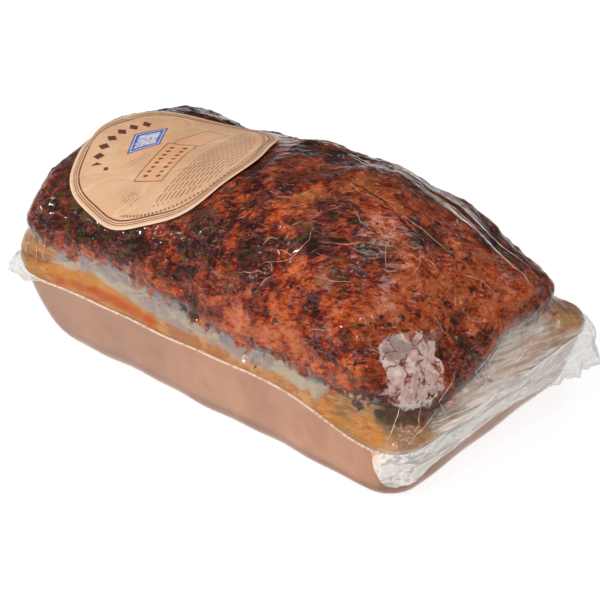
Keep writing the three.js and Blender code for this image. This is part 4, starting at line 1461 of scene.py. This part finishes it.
# %% Finish of the kraft label
def printed_marks(finish, u, v, inset):
    """Everything that is printed in brown ink, from 0 to 1."""
    radius = (u * u + v * v) ** 0.5
    turn = finish.add("ShaderNodeMath", {"operation": "ARCTAN2"}, {0: u, 1: v})
    cell = (turn * 5.4).math("FRACT") - 0.5
    diamond = 1 - (abs(cell) * 7.9 * 1.3 + abs(radius - 44)).above(3.4, 3.8)
    arc = diamond * turn.within(-0.22, 0.6, 0.62)
    small_diamond = 1 - (abs(u + 31) + abs(v - 22.8)).above(1.6, 2.0)
    rim_dots = stroke(radius, 51.5, 0.7) * (turn * 22).math("FRACT").above(0.4, 0.45)
    rim_dots = rim_dots * (1 - v.above(-16, -15))
    below = (1 - (v - u * 0.3).above(-19, -18.6)) * (1 - (radius - 47).above(0, 0.4))
    fine_print = dashes(u, v - u * 0.3, 2.6, 0.4, 5.0) * below
    ribbon, tail = inside_panel(u, v, RIBBON), inside_panel(u, v, TAIL)
    tail = tail * (1 - ribbon)
    outlines = ribbon - inside_panel(u, v, RIBBON, 0.7) + (tail - inside_panel(u, v, TAIL, 0.6) * tail) * 0.8
    along, across = turned_about(u, v, RIBBON)
    motif = abs((along / 4.4).math("FRACT") - 0.5) * 6.2 + abs(abs(across) - 4.2)
    motif = (1 - motif.above(1.7, 2.1)) * along.within(0, 17, 17.3)
    marks = sum(stroke(inset, place, half) * strength for place, half, strength in BORDERS)
    marks = marks + outlines * 0.9 + motif * 0.95 + arc + small_diamond + rim_dots * 0.8
    marks = marks + fine_print * 0.75 + dash_block(u, v, *LEFT_ROWS) * 0.8
    marks = marks + dash_block(u, v - UNDER_LOZENGE_RISE, *UNDER_LOZENGE) * 0.8
    return marks.math("MINIMUM", 1.0), ribbon * 0.5 + tail * 0.25


def label_finish():
    finish = Finish("kraft paper")
    u, v, inset = finish.field("across"), finish.field("upward"), finish.field("inset")
    pulp = finish.noise(0.9, 4, 0.7)
    paper = finish.ramp(finish.noise(26, 4, 0.6, 0.5) * 0.7 + pulp * 0.3, (0.32, 0.52, 0.7), KRAFT)
    marks, panels = printed_marks(finish, u, v, inset)
    along, across = turned_about(u, v, LOZENGE)
    spread = abs(along) / LOZENGE[3] + abs(across) / LOZENGE[4]
    scrolls = abs(finish.noise(3.4, 2, 0.5, 1.2) - 0.5).above(0.01, 0.035)
    folds = abs(finish.noise(34, 2, 0.5, 0.4, finish.stretched((2.5, 1.0, 1.0), 50)) - 0.5)
    layers = [
        ((1 - inset.above(0.5, 2.0)) * 0.5, srgb(234, 210, 184)),
        (panels, srgb(212, 146, 100)),
        ((1 - spread.above(0.9, 1.9)) * 0.4, srgb(220, 152, 96)),
        (1 - spread.above(0.96, 1.02), BLUE),
        (stroke(spread, 0.84, 0.03, 0.02), srgb(196, 198, 208)),
        ((1 - spread.above(0.6, 0.66)) * scrolls * 0.85, BLUE_PALE),
        (marks, INK),
        ((1 - folds.above(0.0, 0.012)) * 0.16, srgb(236, 214, 190)),
    ]
    normal = finish.bump(pulp * 0.4 + folds.above(0.0, 0.05) * 1.6, 0.35, 0.6)
    sockets = {"Base Color": finish.layered(paper, *layers), "Roughness": 0.72, "Normal": normal}
    return finish.done(finish.surface(sockets))


label = mesh_piece("paper_label", points, faces, [label_finish()], sheet_fields)
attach(label, "root")
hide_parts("label")
tell(label)
